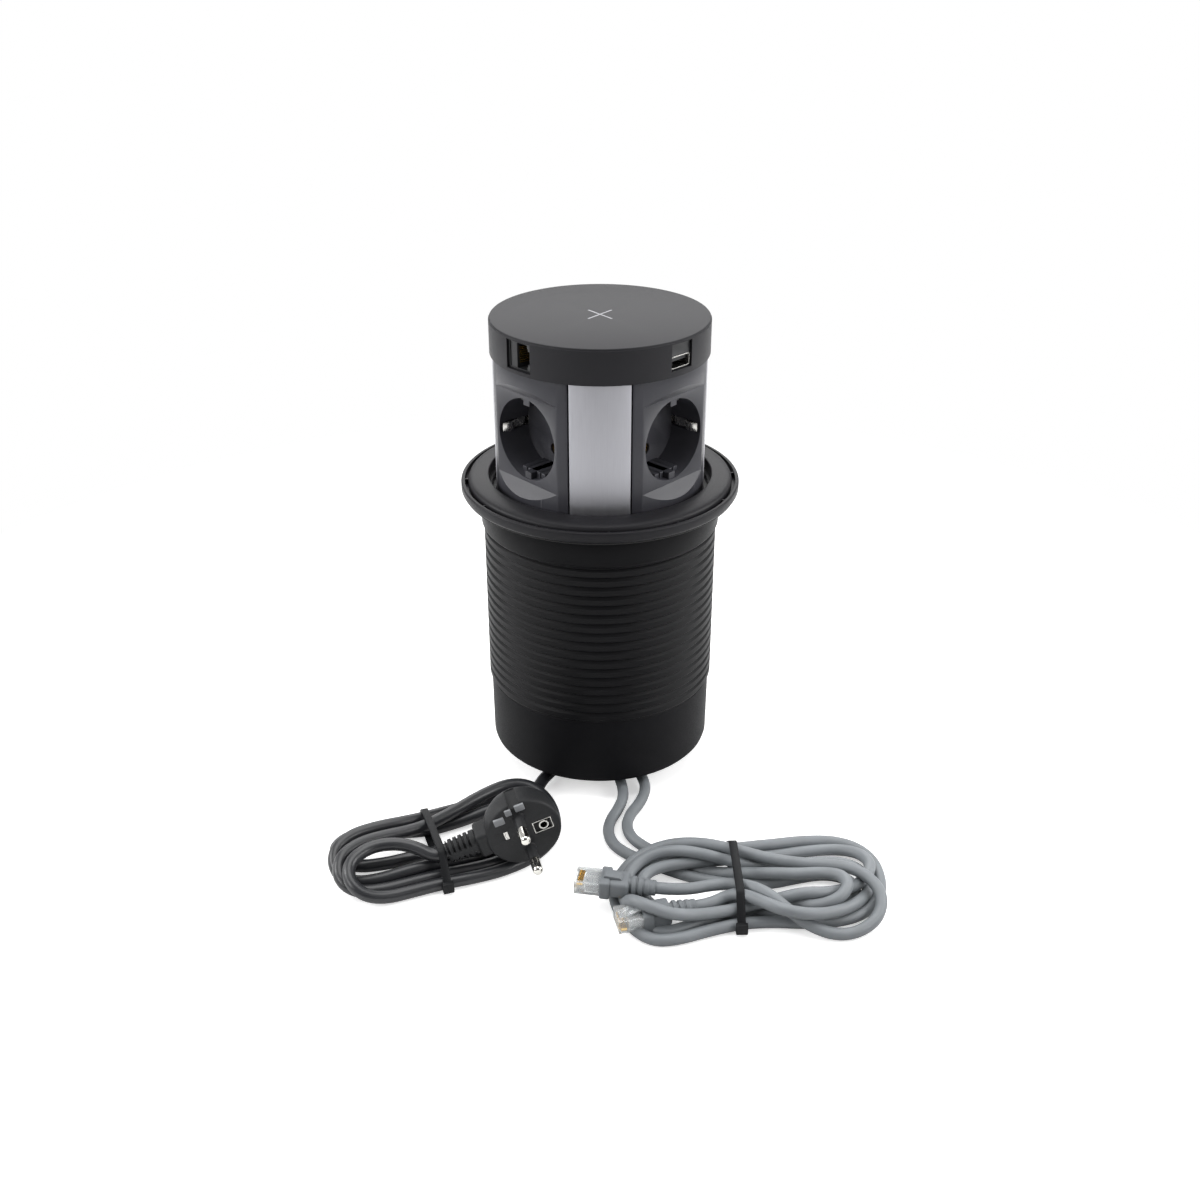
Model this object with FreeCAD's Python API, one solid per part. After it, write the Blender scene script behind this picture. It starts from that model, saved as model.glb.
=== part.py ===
"""Pop-up desk power module: a round tower with four mains sockets, two network jacks, two USB
ports and a charging pad slides up out of a ribbed housing that hangs in a desk hole.
Millimetres, +Z up, origin on the axis at the floor under the unit, front strip towards -Y."""
import FreeCAD, Part
import math
import os

from FreeCAD import Vector, Placement

os.makedirs("parts", exist_ok=True)

# Socket standard
recess_radius = 19.75
recess_depth = 17.5
pin_pitch = 19.0
pin_hole_radius = 3.0

# Clearances
seat = 0.3
slide_clear = 0.3

# Socket faces and aluminium strips round the tower
socket_azimuth = 47.0
recess_wall = 1.4
flat_border = 1.6
flat_depth = 4.6
back_room = 28.0
lower_margin = 16.85
ledge_drop = 6.5
ledge_rise = 2.6
upper_margin = 9.25
strip_half_angle = 16.0
strip_thickness = 1.7
strip_inset = 0.15
strip_gap_angle = 0.8
panel_wall = 2.5
panel_lip = 1.5
panel_lap_angle = 4.0
key_chord = 16.4
key_half_width = 8.2
key_rib_half = 2.2
key_setback = 4.0
clip_width = 4.4
clip_thickness = 0.8
clip_bulge = 1.8
contact_radius = 3.4

# Radii, each from the one inside it
flat_half = recess_radius + flat_border
flat_distance = recess_depth + recess_wall + back_room
tower_radius = flat_distance + flat_depth
head_step = 1.1
guide_step = 2.4
lip_gap = 1.9
bezel_gap = 3.5
bezel_width = 10.2
slot_width = 1.7
rim_width = 1.9
sleeve_wall = 3.0
rib_depth = 1.1
collar_wall = 2.2
cup_step = 0.1
head_radius = tower_radius + head_step
guide_radius = tower_radius + guide_step
flange_lip_radius = tower_radius + lip_gap
bezel_inner = tower_radius + bezel_gap
bezel_outer = bezel_inner + bezel_width
slot_outer = bezel_outer + slot_width
flange_radius = slot_outer + rim_width
sleeve_bore = guide_radius + slide_clear
sleeve_radius = sleeve_bore + sleeve_wall
rib_radius = sleeve_radius + rib_depth
collar_radius = sleeve_radius + collar_wall
cup_radius = sleeve_radius + cup_step
core_radius = 9.0
core_wall = 2.0
contact_room = 4.0
contact_length = back_room - core_radius - contact_room

# Foot and cup
outlet_height = 10.0
outlet_step = 8.0
outlet_wall = 3.0
outlet_edge = 0.6
lead_coil_radius = 30.0
lead_diameter = 6.0
outlet_radius = lead_coil_radius + outlet_step
cup_height = 37.0
cup_draft = 0.5
cup_wall = 2.4
cup_floor = 3.0
cup_edge = 2.5
cup_hole_radius = lead_coil_radius - lead_diameter
screw_radius = 1.5
screw_head = 3.0
screw_sink = 2.0
screw_inset = 10.3
screw_circle = cup_radius - screw_inset
screw_count = 4
boss_height = 6.0
boss_wall = 1.5

# Ribbed sleeve, collar, flange and bezel
rib_pitch = 5.0
rib_count = 17
rib_land = 3.0
rib_start = 0.8
spigot_depth = 6.0
spigot_wall = 1.5
collar_height = 17.2
collar_chamfer = 1.6
lug_reach = 3.2
lug_width = 16.0
lug_height = 9.0
collar_gap = 0.2
seal_thickness = 0.8
seal_inset = 1.2
sleeve_height = rib_start + rib_count * rib_pitch + collar_gap + collar_height + seal_thickness
flange_thickness = 5.5
bezel_rise = 2.9
bezel_fall = 2.0
slot_depth = 3.0
bridge_count = 12
bridge_width = 1.1
bridge_turn = 3.5

# Tower
travel = 78.0
tower_inside = 21.0
tower_base_height = 13.0
guide_height = 6.0
friction_groove = 1.6
skirt_height = 17.1
head_wall = 2.2
head_top_wall = 2.4
head_edge = 0.8
tray_thickness = 2.0

# Ports in the head's skirt
port_azimuth = 45.0
jack_width = 15.4
jack_height = 13.6
jack_depth = 18.0
jack_shift = 1.9
plug_width = 11.8
plug_height = 6.6
latch_width = 6.2
latch_height = 1.6
wire_pitch = 1.02
wire_half = 0.22
usb_width = 13.3
usb_height = 12.6
usb_depth = 16.0
usb_shell_width = 12.6
usb_shell_height = 5.8
usb_wall = 0.4
port_setback = 1.2
port_clear = 0.15
port_roof = 1.6

# Charging pad in the head
mark_half_x = 5.6
mark_half_y = 7.0
mark_line = 1.0
mark_depth = 0.3
board_gap = 4.6
board_radius = head_radius - jack_depth - board_gap
board_thickness = 1.6
coil_border = 8.0
coil_outer = board_radius - coil_border
coil_width = 13.0
coil_thickness = 1.2

# Cords and their exits, azimuths in degrees towards +X from the front
mains_diameter = 6.2
network_diameter = 5.6
gland_length = 4.0
gland_wall = 0.9
gland_head = 0.4
exit_height = 5.0
mains_exit = -33.0
network_exits = (12.5, 27.5)
mains_route = [(-27.4, -41.8, 4.9), (-31.0, -48.9, 4.4), (-32.9, -56.6, 3.6), (-33.6, -64.6, 3.2)]
network_routes = [
    [(11.6, -50.6, 4.7), (12.0, -60.4, 3.8), (9.0, -69.8, 3.1), (4.9, -78.8, 2.8), (3.8, -88.6, 2.8),
     (6.6, -98.1, 2.8), (13.1, -105.1, 2.8), (21.5, -110.5, 2.9)],
    [(23.1, -46.3, 4.8), (23.2, -56.0, 4.0), (19.8, -65.2, 3.2), (14.9, -73.7, 2.9), (13.0, -83.2, 2.8),
     (15.5, -92.6, 2.8), (21.7, -99.6, 2.8), (30.2, -104.6, 2.9)]]

# Tied hanks, seen from above
hank_layers = 2
hank_edge = 2.5
tie_width = 3.6
tie_thickness = 1.2
tie_head = 2.4
mains_outline = [
    (-28.5, -58.0), (-50.5, -47.2), (-71.5, -72.0), (-86.5, -84.6), (-104.0, -87.5), (-127.5, -93.0),
    (-125.5, -121.0), (-109.4, -138.5), (-92.0, -133.0), (-74.5, -126.2), (-56.3, -127.9),
    (-36.0, -118.0), (-23.5, -92.0)]
network_outline = [
    (25.7, -98.5), (43.6, -100.6), (64.2, -103.3), (87.8, -95.9), (111.5, -90.4), (128.0, -100.0),
    (131.0, -122.0), (129.0, -147.0), (107.4, -167.2), (89.7, -159.5), (76.9, -152.8), (61.6, -152.1),
    (44.8, -159.5), (25.3, -163.9), (10.5, -152.0), (8.0, -130.0), (12.0, -109.5)]
mains_tie_place = (-79.3, -104.8, 0.0)
mains_tie_way = (0.92, 0.30, 0.0)
mains_tie_inside = 41.0
network_tie_place = (63.0, -127.8, 0.0)
network_tie_way = (1.0, 0.02, 0.0)
network_tie_inside = 50.5

# Mains plug, standing on its edge with the pins towards the front
plug_radius = 18.0
plug_body_depth = 20.0
plug_dome = 10.0
plug_pin_radius = 2.4
plug_pin_length = 19.0
plug_pin_tip = 1.6
plug_neck_length = 22.5
plug_neck_width = 13.0
plug_neck_set = 7.5
plug_groove_half = 2.6
plug_groove_depth = 2.2
plug_groove_length = 14.0
earth_hole_radius = 2.5
relief_length = 14.5
relief_rings = 5
relief_start_radius = 5.9
relief_end_radius = 5.5
relief_groove = 1.3
plug_face = (-36.0, -112.0, 25.4)
plug_axis = (0.38, -0.92, -0.06)
plug_roof = (0.245, 0.155, -0.955)

# Network plugs: tip, direction from tip to cord, and the way the contacts face
network_plug_length = 12.0
network_plug_half = 5.85
network_plug_rise = 3.3
boot_length = 13.0
boot_half = 6.6
boot_rise = 4.6
boot_tail = 12.0
boot_rings = 4
network_plug_places = [
    ((-11.1, -137.8, 14.0), (0.987, -0.16, 0.0), (0.0, 0.0, 1.0)),
    ((7.2, -158.0, 7.4), (0.975, 0.22, 0.03), (0.0, 0.0, -1.0))]

# Heights that follow
cup_bottom = outlet_height
cup_top = cup_bottom + cup_height
sleeve_top = cup_top + sleeve_height
flange_top = sleeve_top + flange_thickness
bezel_top = flange_top + bezel_rise
tower_bottom = sleeve_top - tower_inside
panel_bottom = tower_bottom + tower_base_height
socket_height = panel_bottom + lower_margin + ledge_drop + flat_half
panel_top = socket_height + flat_half + ledge_rise + upper_margin
skirt_bottom = panel_top
tower_top = skirt_bottom + skirt_height
side_strip_half = 90.0 - 2 * socket_azimuth + strip_half_angle
panel_half_angle = socket_azimuth - strip_half_angle - strip_gap_angle

up = Vector(0, 0, 1)


def ring(outer, inner, low, high):
    """A plain tube about the axis."""
    body = Part.makeCylinder(outer, high - low, Vector(0, 0, low))
    return body.cut(Part.makeCylinder(inner, high - low, Vector(0, 0, low)))


def box(x0, x1, y0, y1, z0, z1):
    """A block between two corners."""
    return Part.makeBox(x1 - x0, y1 - y0, z1 - z0, Vector(x0, y0, z0))


def revolve(points, angle=360.0, start=0.0):
    """Turns a closed profile of (radius, height) points about the axis, centred on the front."""
    corners = [Vector(0, -r, z) for r, z in points]
    face = Part.Face(Part.makePolygon(corners + corners[:1]))
    face.rotate(Vector(), up, start)
    return face.revolve(Vector(), up, angle)


def sector(outer, inner, low, high, half_angle):
    """A piece of tube that spans an angle to each side of the front."""
    points = [(inner, low), (outer, low), (outer, high), (inner, high)]
    return revolve(points, 2 * half_angle, -half_angle)


def turned(shape, azimuth):
    """A copy turned from the front, positive towards +X."""
    copy = shape.copy()
    copy.rotate(Vector(), up, azimuth)
    return copy


def prism_x(points, half_width):
    """Extrudes a closed (y, z) outline to both sides along X."""
    corners = [Vector(-half_width, y, z) for y, z in points]
    face = Part.Face(Part.makePolygon(corners + corners[:1]))
    return face.extrude(Vector(2 * half_width, 0, 0))


def prism_z(points, low, high):
    """Extrudes a closed (x, y) outline upwards."""
    corners = [Vector(x, y, low) for x, y in points]
    face = Part.Face(Part.makePolygon(corners + corners[:1]))
    return face.extrude(Vector(0, 0, high - low))


def tunnel(radius, y0, y1, x=0.0, z=0.0):
    """A round bar along Y."""
    return Part.makeCylinder(radius, y1 - y0, Vector(x, y0, z), Vector(0, 1, 0))


def save(name, shape):
    """Writes one node and says what it is."""
    shape = shape.removeSplitter()
    if not shape.isValid():
        raise ValueError(name + " is not a valid shape")
    shape.exportStep("parts/" + name + ".step")
    print(name, len(shape.Solids), "solid", round(shape.Volume, 1))
    return shape


# Housing

def cable_outlet(exits):
    """Low foot under the cup, with a side opening for each cord."""
    body = Part.makeCylinder(outlet_radius, outlet_height)
    body = body.makeChamfer(outlet_edge, [e for e in body.Edges if e.BoundBox.ZMax < 0.1])
    inside = outlet_radius - outlet_wall
    body = body.cut(Part.makeCylinder(inside, outlet_height - outlet_wall, Vector(0, 0, outlet_wall)))
    for azimuth, radius in exits:
        hole = tunnel(radius + seat, -outlet_radius - 1, -inside + 1, 0, exit_height)
        body = body.cut(turned(hole, azimuth))
    return body


def gland(azimuth, cord_radius):
    """Bush that carries a cord through the foot's wall."""
    collar = cord_radius + gland_wall
    end = -outlet_radius - gland_length
    bush = tunnel(collar, end, -outlet_radius + outlet_wall + seat, 0, exit_height)
    head = tunnel(collar + gland_head, end, -outlet_radius - seat, 0, exit_height)
    return turned(bush.fuse(head), azimuth)


def base_cup():
    """Smooth moulded cup that closes the housing's lower end."""
    wall_top = cup_radius
    wall_low = cup_radius - cup_draft
    inner = cup_radius - cup_wall
    body = revolve([(0, cup_bottom), (wall_low, cup_bottom), (wall_top, cup_top), (0, cup_top)])
    rim = [e for e in body.Edges if e.BoundBox.ZMax < cup_bottom + 0.1 and e.BoundBox.XLength > cup_radius]
    body = body.makeFillet(cup_edge, rim)
    body = body.cut(Part.makeCylinder(inner, cup_height, Vector(0, 0, cup_bottom + cup_floor)))
    body = body.cut(Part.makeCylinder(cup_hole_radius, cup_floor * 3, Vector(0, 0, cup_bottom - 1)))
    for x, y in screw_places():
        body = body.cut(Part.makeCylinder(screw_radius + seat, cup_floor * 3, Vector(x, y, cup_bottom - 1)))
        body = body.cut(Part.makeCylinder(screw_head + seat, screw_sink, Vector(x, y, cup_bottom)))
        boss = Part.makeCylinder(screw_head + boss_wall, boss_height, Vector(x, y, cup_bottom + cup_floor))
        bore = Part.makeCylinder(screw_radius + seat, boss_height, Vector(x, y, cup_bottom + cup_floor))
        boss = boss.cut(bore)
        body = body.fuse(boss)
    return body


def screw_places():
    """Centres of the screws that hold the cup to the sleeve."""
    places = []
    for i in range(screw_count):
        a = math.radians(45 + i * 360 / screw_count)
        places.append((screw_circle * math.sin(a), -screw_circle * math.cos(a)))
    return places


def base_screws():
    """Countersunk screws seen from below."""
    screws = []
    for x, y in screw_places():
        shank = Part.makeCylinder(screw_radius, cup_floor + boss_height - 1, Vector(x, y, cup_bottom + 0.4))
        head = Part.makeCylinder(screw_head, screw_sink - 0.6, Vector(x, y, cup_bottom + 0.4))
        slot = box(x - 2.2, x + 2.2, y - 0.4, y + 0.4, cup_bottom + 0.3, cup_bottom + 1.2)
        cross = box(x - 0.4, x + 0.4, y - 2.2, y + 2.2, cup_bottom + 0.3, cup_bottom + 1.2)
        screws.append(head.fuse(shank).cut(slot).cut(cross))
    return Part.makeCompound(screws)


def outer_sleeve():
    """Tube with ring ribs that the desk clamp can bite on, and a plain neck on top."""
    first = cup_top + rib_start
    groove = (rib_pitch - rib_land) / 2
    points = [(sleeve_bore, cup_top), (sleeve_radius, cup_top)]
    for i in range(rib_count):
        z = first + i * rib_pitch
        points += [(sleeve_radius, z), (rib_radius, z + groove), (rib_radius, z + groove + rib_land)]
    points += [(sleeve_radius, first + rib_count * rib_pitch)]
    points += [(sleeve_radius, sleeve_top), (sleeve_bore, sleeve_top)]
    body = revolve(points)
    spigot_outer = cup_radius - cup_wall - seat
    return body.fuse(ring(spigot_outer, spigot_outer - spigot_wall, cup_top - spigot_depth, cup_top + 1))


def clamp_collar():
    """Smooth band round the neck, with two snap lugs that centre it in the desk hole."""
    low = sleeve_top - seal_thickness - collar_height
    high = sleeve_top - seal_thickness
    bore = sleeve_radius + seat
    body = revolve([
        (bore, low), (collar_radius - collar_chamfer, low), (collar_radius, low + collar_chamfer),
        (collar_radius, high), (bore, high)])
    for azimuth, reach in ((-92.0, lug_reach), (88.0, lug_reach - 2.0)):
        outline = [
            (-collar_radius + 1, high - lug_height - reach), (-collar_radius - 0.2, high - lug_height - reach),
            (-collar_radius - reach, high - lug_height + 2), (-collar_radius - reach, high),
            (-collar_radius + 1, high)]
        lug = prism_x(outline, lug_width / 2)
        body = body.fuse(turned(lug, azimuth))
    return body.cut(Part.makeCylinder(bore, 3 * collar_height, Vector(0, 0, low - collar_height)))


def seal_ring():
    """Thin seal under the flange."""
    return ring(flange_radius - seal_inset, sleeve_radius + seat, sleeve_top - seal_thickness, sleeve_top)


def mounting_flange():
    """Flange that rests on the desk, with an upstanding rim and the lip that stops the tower."""
    rim_in = slot_outer
    deck = flange_top - slot_depth
    body = revolve([
        (flange_lip_radius, sleeve_top), (flange_radius - 1.5, sleeve_top), (flange_radius, sleeve_top + 1.5),
        (flange_radius, flange_top - 0.8), (flange_radius - 0.8, flange_top), (rim_in, flange_top),
        (rim_in, deck), (flange_lip_radius, deck)])
    return body


def bezel_ring():
    """Trim ring on the flange: a gently falling top, a rounded edge and small bridges to the rim."""
    low = flange_top - slot_depth
    outer_top = bezel_top - bezel_fall
    knee = bezel_outer - 2.6
    start = Vector(0, -knee, bezel_top - 0.7)
    middle = Vector(0, -(bezel_outer - 0.7), outer_top - 0.1 + 0.35)
    end = Vector(0, -bezel_outer, outer_top - 0.8)
    edges = [
        Part.LineSegment(Vector(0, -bezel_inner, low), Vector(0, -bezel_inner, bezel_top - 0.6)).toShape(),
        Part.LineSegment(Vector(0, -bezel_inner, bezel_top - 0.6),
                         Vector(0, -(bezel_inner + 0.6), bezel_top)).toShape(),
        Part.LineSegment(Vector(0, -(bezel_inner + 0.6), bezel_top), start).toShape(),
        Part.Arc(start, middle, end).toShape(),
        Part.LineSegment(end, Vector(0, -bezel_outer, low)).toShape(),
        Part.LineSegment(Vector(0, -bezel_outer, low), Vector(0, -bezel_inner, low)).toShape()]
    body = Part.Face(Part.Wire(edges)).revolve(Vector(), up, 360)
    for i in range(bridge_count):
        half = bridge_width / 2
        bar = box(-half, half, -slot_outer + 0.05, -bezel_outer + 1.5, low, flange_top - 0.6)
        body = body.fuse(turned(bar, bridge_turn + i * 360 / bridge_count))
    return body


def inner_lead():
    """Space of the coiled lead that feeds the tower, from the cup's floor to the tower."""
    low = cup_bottom + cup_floor
    return ring(lead_coil_radius, lead_coil_radius - lead_diameter, low, tower_bottom - slide_clear)


# Tower

def head_cap():
    """Round head: flat top with a fine edge, skirt with a window for each port."""
    body = Part.makeCylinder(head_radius, skirt_height, Vector(0, 0, skirt_bottom))
    body = body.makeChamfer(head_edge, [e for e in body.Edges if e.BoundBox.ZLength < 0.1])
    hollow = head_radius - head_wall
    body = body.cut(Part.makeCylinder(hollow, skirt_height - head_top_wall, Vector(0, 0, skirt_bottom)))
    for azimuth in (-port_azimuth, 180 - port_azimuth):
        body = body.cut(turned(port_window(jack_width, jack_height), azimuth))
    for azimuth in (port_azimuth, port_azimuth - 180):
        body = body.cut(turned(port_window(usb_width, usb_height), azimuth))
    return body.cut(cross_mark(mark_line + 2 * 0.05, tower_top - mark_depth, tower_top + 1))


def port_window(width, height):
    """Opening in the skirt that a port block fills, level with the underside of the top."""
    top = tower_top - port_roof
    return box(-width / 2, width / 2, -head_radius - 2, -head_radius + 8, top - height, top)


def cross_mark(line, low, high):
    """Two crossed bars that show where a phone is laid."""
    length = math.hypot(mark_half_x, mark_half_y)
    lean = math.degrees(math.atan2(mark_half_x, mark_half_y))
    bar = box(-line / 2, line / 2, -length, length, low, high)
    return turned(bar, lean).fuse(turned(bar, -lean))


def charging_coil():
    """Flat winding under the top."""
    high = tower_top - head_top_wall - seat
    return ring(coil_outer, coil_outer - coil_width, high - coil_thickness, high)


def charger_board():
    """Board that carries the coil and feeds the USB ports."""
    high = tower_top - head_top_wall - 2 * seat - coil_thickness
    body = Part.makeCylinder(board_radius, board_thickness, Vector(0, 0, high - board_thickness))
    for azimuth in (0, 90, 180, 270):
        foot = Vector(0, -board_radius + 5, tray_top())
        post = Part.makeCylinder(1.6, high - board_thickness - tray_top(), foot)
        body = body.fuse(turned(post, azimuth))
    return body


def tray_top():
    """Upper face of the tray under the head."""
    return skirt_bottom + tray_thickness


def head_tray():
    """Disc between head and sockets that carries the board and the port blocks."""
    body = Part.makeCylinder(head_radius - head_wall - seat / 2, tray_thickness, Vector(0, 0, skirt_bottom))
    hole = Part.makeCylinder(core_radius - core_wall, tray_thickness * 3, Vector(0, 0, skirt_bottom - 2))
    return body.cut(hole)


def core_column():
    """Tube on the axis that ties the tower's base to its head and carries the wires."""
    body = ring(core_radius, core_radius - core_wall, panel_bottom, skirt_bottom)
    foot = ring(core_radius + 4, core_radius - core_wall, panel_bottom, panel_bottom + 2)
    return body.fuse(foot)


def tower_base():
    """Lower ring and floor of the tower, with the guide band that runs in the sleeve."""
    low = tower_bottom
    inner = core_radius - core_wall
    groove_low = low + guide_height / 2 - friction_groove / 2
    body = revolve([
        (core_radius, low), (guide_radius, low), (guide_radius, groove_low),
        (guide_radius - 1.2, groove_low), (guide_radius - 1.2, groove_low + friction_groove),
        (guide_radius, groove_low + friction_groove), (guide_radius, low + guide_height),
        (tower_radius, low + guide_height), (tower_radius, panel_bottom), (inner, panel_bottom),
        (inner, panel_bottom - 3), (core_radius, panel_bottom - 3)])
    hollow = ring(tower_radius - 4, core_radius + 3, low + 3, panel_bottom - 3)
    return body.cut(hollow)


def friction_ring():
    """Round ring in the guide band that holds the tower where it is put."""
    middle = tower_bottom + guide_height / 2
    half = friction_groove / 2 - 0.1
    return ring(guide_radius + 0.05, guide_radius - 1.1, middle - half, middle + half)


def stop_ring():
    """Ring round the panels' feet that meets the flange's lip when the tower is up."""
    high = sleeve_top - slide_clear
    return ring(guide_radius, tower_radius + 0.1, high - guide_height, high)


def socket_panel():
    """Black panel with a flat, sloping ledges above and below it, and the socket's round recess."""
    outer_face = -flat_distance
    cup_end = outer_face + recess_depth
    body = sector(tower_radius, tower_radius - panel_wall, panel_bottom, panel_top, panel_half_angle)
    lip_outer = tower_radius - strip_inset - strip_thickness - 0.1
    lap = sector(lip_outer, lip_outer - panel_lip, panel_bottom, panel_top, panel_half_angle + panel_lap_angle)
    keep = sector(lip_outer + 1, lip_outer - panel_lip - 1, panel_bottom, panel_top, panel_half_angle - 3)
    body = body.fuse(lap.cut(keep))
    low = socket_height - flat_half - ledge_drop - 1.5
    high = socket_height + flat_half + ledge_rise + 1.5
    half = flat_half + 1.6
    backing = box(-half, half, -tower_radius - 1, outer_face + panel_wall, low, high)
    backing = backing.common(Part.makeCylinder(tower_radius, high - low + 2, Vector(0, 0, low - 1)))
    body = body.fuse(backing)
    body = body.fuse(tunnel(recess_radius + recess_wall, outer_face, cup_end + recess_wall, 0, socket_height))
    beyond = 10.0
    depth = tower_radius - flat_distance
    slope_low = socket_height - flat_half
    slope_high = socket_height + flat_half
    pocket = [
        (outer_face, slope_low), (outer_face, slope_high),
        (outer_face - beyond, slope_high + ledge_rise * beyond / depth),
        (outer_face - beyond, slope_low - ledge_drop * beyond / depth)]
    body = body.cut(prism_x(pocket, tower_radius))
    return socket_recess(body, outer_face, cup_end)


def socket_recess(body, mouth, floor):
    """Cuts the recess with its keys, pin holes and earth slots into the panel."""
    hollow = tunnel(recess_radius, mouth - 1, floor, 0, socket_height)
    for side in (-1, 1):
        edge = socket_height + side * key_chord
        far = socket_height + side * (recess_radius + 1)
        low, high = min(edge, far), max(edge, far)
        block = box(-key_half_width, key_half_width, mouth + key_setback, floor, low, high)
        rib = box(-key_rib_half, key_rib_half, mouth + 0.4, floor, low, high)
        hollow = hollow.cut(block).cut(rib)
        body = body.cut(tunnel(pin_hole_radius, floor - 1, floor + 5, 0, socket_height + side * pin_pitch / 2))
        inner = recess_radius - 0.6
        outer = recess_radius + recess_wall + 0.5
        left, right = min(side * inner, side * outer), max(side * inner, side * outer)
        half = clip_width / 2 + seat
        body = body.cut(box(left, right, mouth + 1.5, floor + 3, socket_height - half, socket_height + half))
    return body.cut(hollow)


def earth_contact():
    """Bent strip: a spring finger at each side of the recess, joined behind its floor."""
    mouth = -flat_distance
    back = mouth + recess_depth + recess_wall + seat
    leg_in = recess_radius + 0.2
    leg_out = leg_in + clip_thickness
    low = socket_height - clip_width / 2
    high = socket_height + clip_width / 2
    body = box(-leg_out, leg_out, back, back + clip_thickness, low, high)
    for side in (-1, 1):
        outline = [
            (side * leg_in, back), (side * leg_out, back), (side * leg_out, mouth + 2.5),
            (side * (leg_in - 0.2), mouth + 2.5), (side * (leg_in - clip_bulge), mouth + 5.5),
            (side * (leg_in - clip_bulge + 0.4), mouth + 7.0), (side * leg_in, mouth + 9.5)]
        body = body.fuse(prism_z(outline, low, high))
    return body


def live_contacts(azimuths):
    """Brass sleeves behind the pin holes of every socket."""
    back = -flat_distance + recess_depth + recess_wall
    made = []
    for azimuth in azimuths:
        for side in (-1, 1):
            z = socket_height + side * pin_pitch / 2
            sleeve = tunnel(contact_radius, back, back + contact_length, 0, z)
            sleeve = sleeve.cut(tunnel(contact_radius - 0.9, back, back + contact_length - 1.5, 0, z))
            made.append(turned(sleeve, azimuth))
    return Part.makeCompound(made)


def strip(half_angle):
    """Aluminium strip between two panels."""
    outer = tower_radius - strip_inset
    return sector(outer, outer - strip_thickness, panel_bottom, panel_top, half_angle)


def port_face(half_width):
    """Where a port block's flat front lies behind the round skirt."""
    return -math.sqrt(head_radius ** 2 - half_width ** 2) + port_setback


def network_jack():
    """Jack turned on its side: plate, plug opening with its latch notch, and body."""
    half = jack_width / 2 - port_clear
    high = tower_top - port_roof - port_clear
    low = high - jack_height + 2 * port_clear
    front = port_face(half)
    body = box(-half, half, front, front + 2.4, low, high)
    body = body.fuse(box(-half, half, front + 2, front + jack_depth, tray_top(), high - 1.0))
    middle = (low + high) / 2
    left = -jack_shift
    wide = plug_width / 2
    mouth = box(left, left + plug_height, front - 1, front + 13, middle - wide, middle + wide)
    notch = box(left + plug_height - 0.1, left + plug_height + latch_height, front - 1, front + 13,
                middle - latch_width / 2, middle + latch_width / 2)
    groove = box(-half + 0.9, -half + 1.7, front - 1, front + 0.6, low + 0.8, high - 0.8)
    return body.cut(mouth).cut(notch).cut(groove)


def jack_contacts():
    """Eight sloping wires on the side of the plug opening."""
    half = jack_width / 2 - port_clear
    front = port_face(half)
    middle = tower_top - port_roof - jack_height / 2
    made = []
    for i in range(8):
        z = middle + (i - 3.5) * wire_pitch
        outline = [
            (-jack_shift, front + 1.5), (-jack_shift + 0.4, front + 1.5),
            (-jack_shift + 2.6, front + 12.9), (-jack_shift, front + 12.9)]
        made.append(prism_z(outline, z - wire_half, z + wire_half))
    return Part.makeCompound(made)


def usb_low():
    """Lower edge of the USB shell."""
    return tower_top - port_roof - usb_height + 0.6


def usb_port():
    """Plastic block with the socket opening in its lower half and the contact tongue in it."""
    half = usb_width / 2 - port_clear
    high = tower_top - port_roof - port_clear
    front = port_face(half)
    low = high - usb_height + 2 * port_clear
    body = box(-half, half, front, front + 2.4, low, high)
    body = body.fuse(box(-half, half, front + 2, front + usb_depth, tray_top(), high - 1.0))
    wide = usb_shell_width / 2
    base = usb_low()
    body = body.cut(box(-wide, wide, front - 1, front + 12, base, base + usb_shell_height))
    tongue = box(-wide + 1.2, wide - 1.2, front + 1.2, front + 12, base + 3.0, base + 4.6)
    return body.fuse(tongue)


def usb_shell():
    """Thin metal shell that lines the USB opening."""
    half = usb_width / 2 - port_clear
    front = port_face(half)
    wide = usb_shell_width / 2 - 0.02
    base = usb_low() + 0.02
    top = base + usb_shell_height - 0.04
    body = box(-wide, wide, front - 0.2, front + 11.9, base, top)
    inner = wide - usb_wall
    return body.cut(box(-inner, inner, front - 1, front + 12.5, base + usb_wall, top - usb_wall))


# Cords and what is on them

def cord_tube(name, route, diameter):
    """Straight runs joined by tangent arcs, each as large as its two runs allow."""
    points = [Vector(*p) for p in route]
    edges = []
    start = points[0]
    radii = []
    for before, corner, after in zip(points, points[1:], points[2:]):
        into = (corner - before).normalize()
        away = (after - corner).normalize()
        turn = into.getAngle(away)
        reach = 0.45 * min((corner - before).Length, (after - corner).Length)
        radius = reach / math.tan(turn / 2)
        radii.append(round(radius, 1))
        first = corner - into * reach
        last = corner + away * reach
        bisector = (away - into).normalize()
        middle = corner + bisector * (radius / math.cos(turn / 2) - radius)
        edges.append(Part.LineSegment(start, first).toShape())
        edges.append(Part.Arc(first, middle, last).toShape())
        start = last
    edges.append(Part.LineSegment(start, points[-1]).toShape())
    path = Part.Wire(edges)
    circle = Part.Circle(points[0], points[1] - points[0], diameter / 2).toShape()
    tube = path.makePipeShell([Part.Wire(circle)], True, False)
    ideal = path.Length * math.pi * diameter ** 2 / 4
    print(name, "radii", radii, "length", round(path.Length, 1), "volume share", round(tube.Volume / ideal, 4))
    return tube


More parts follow.
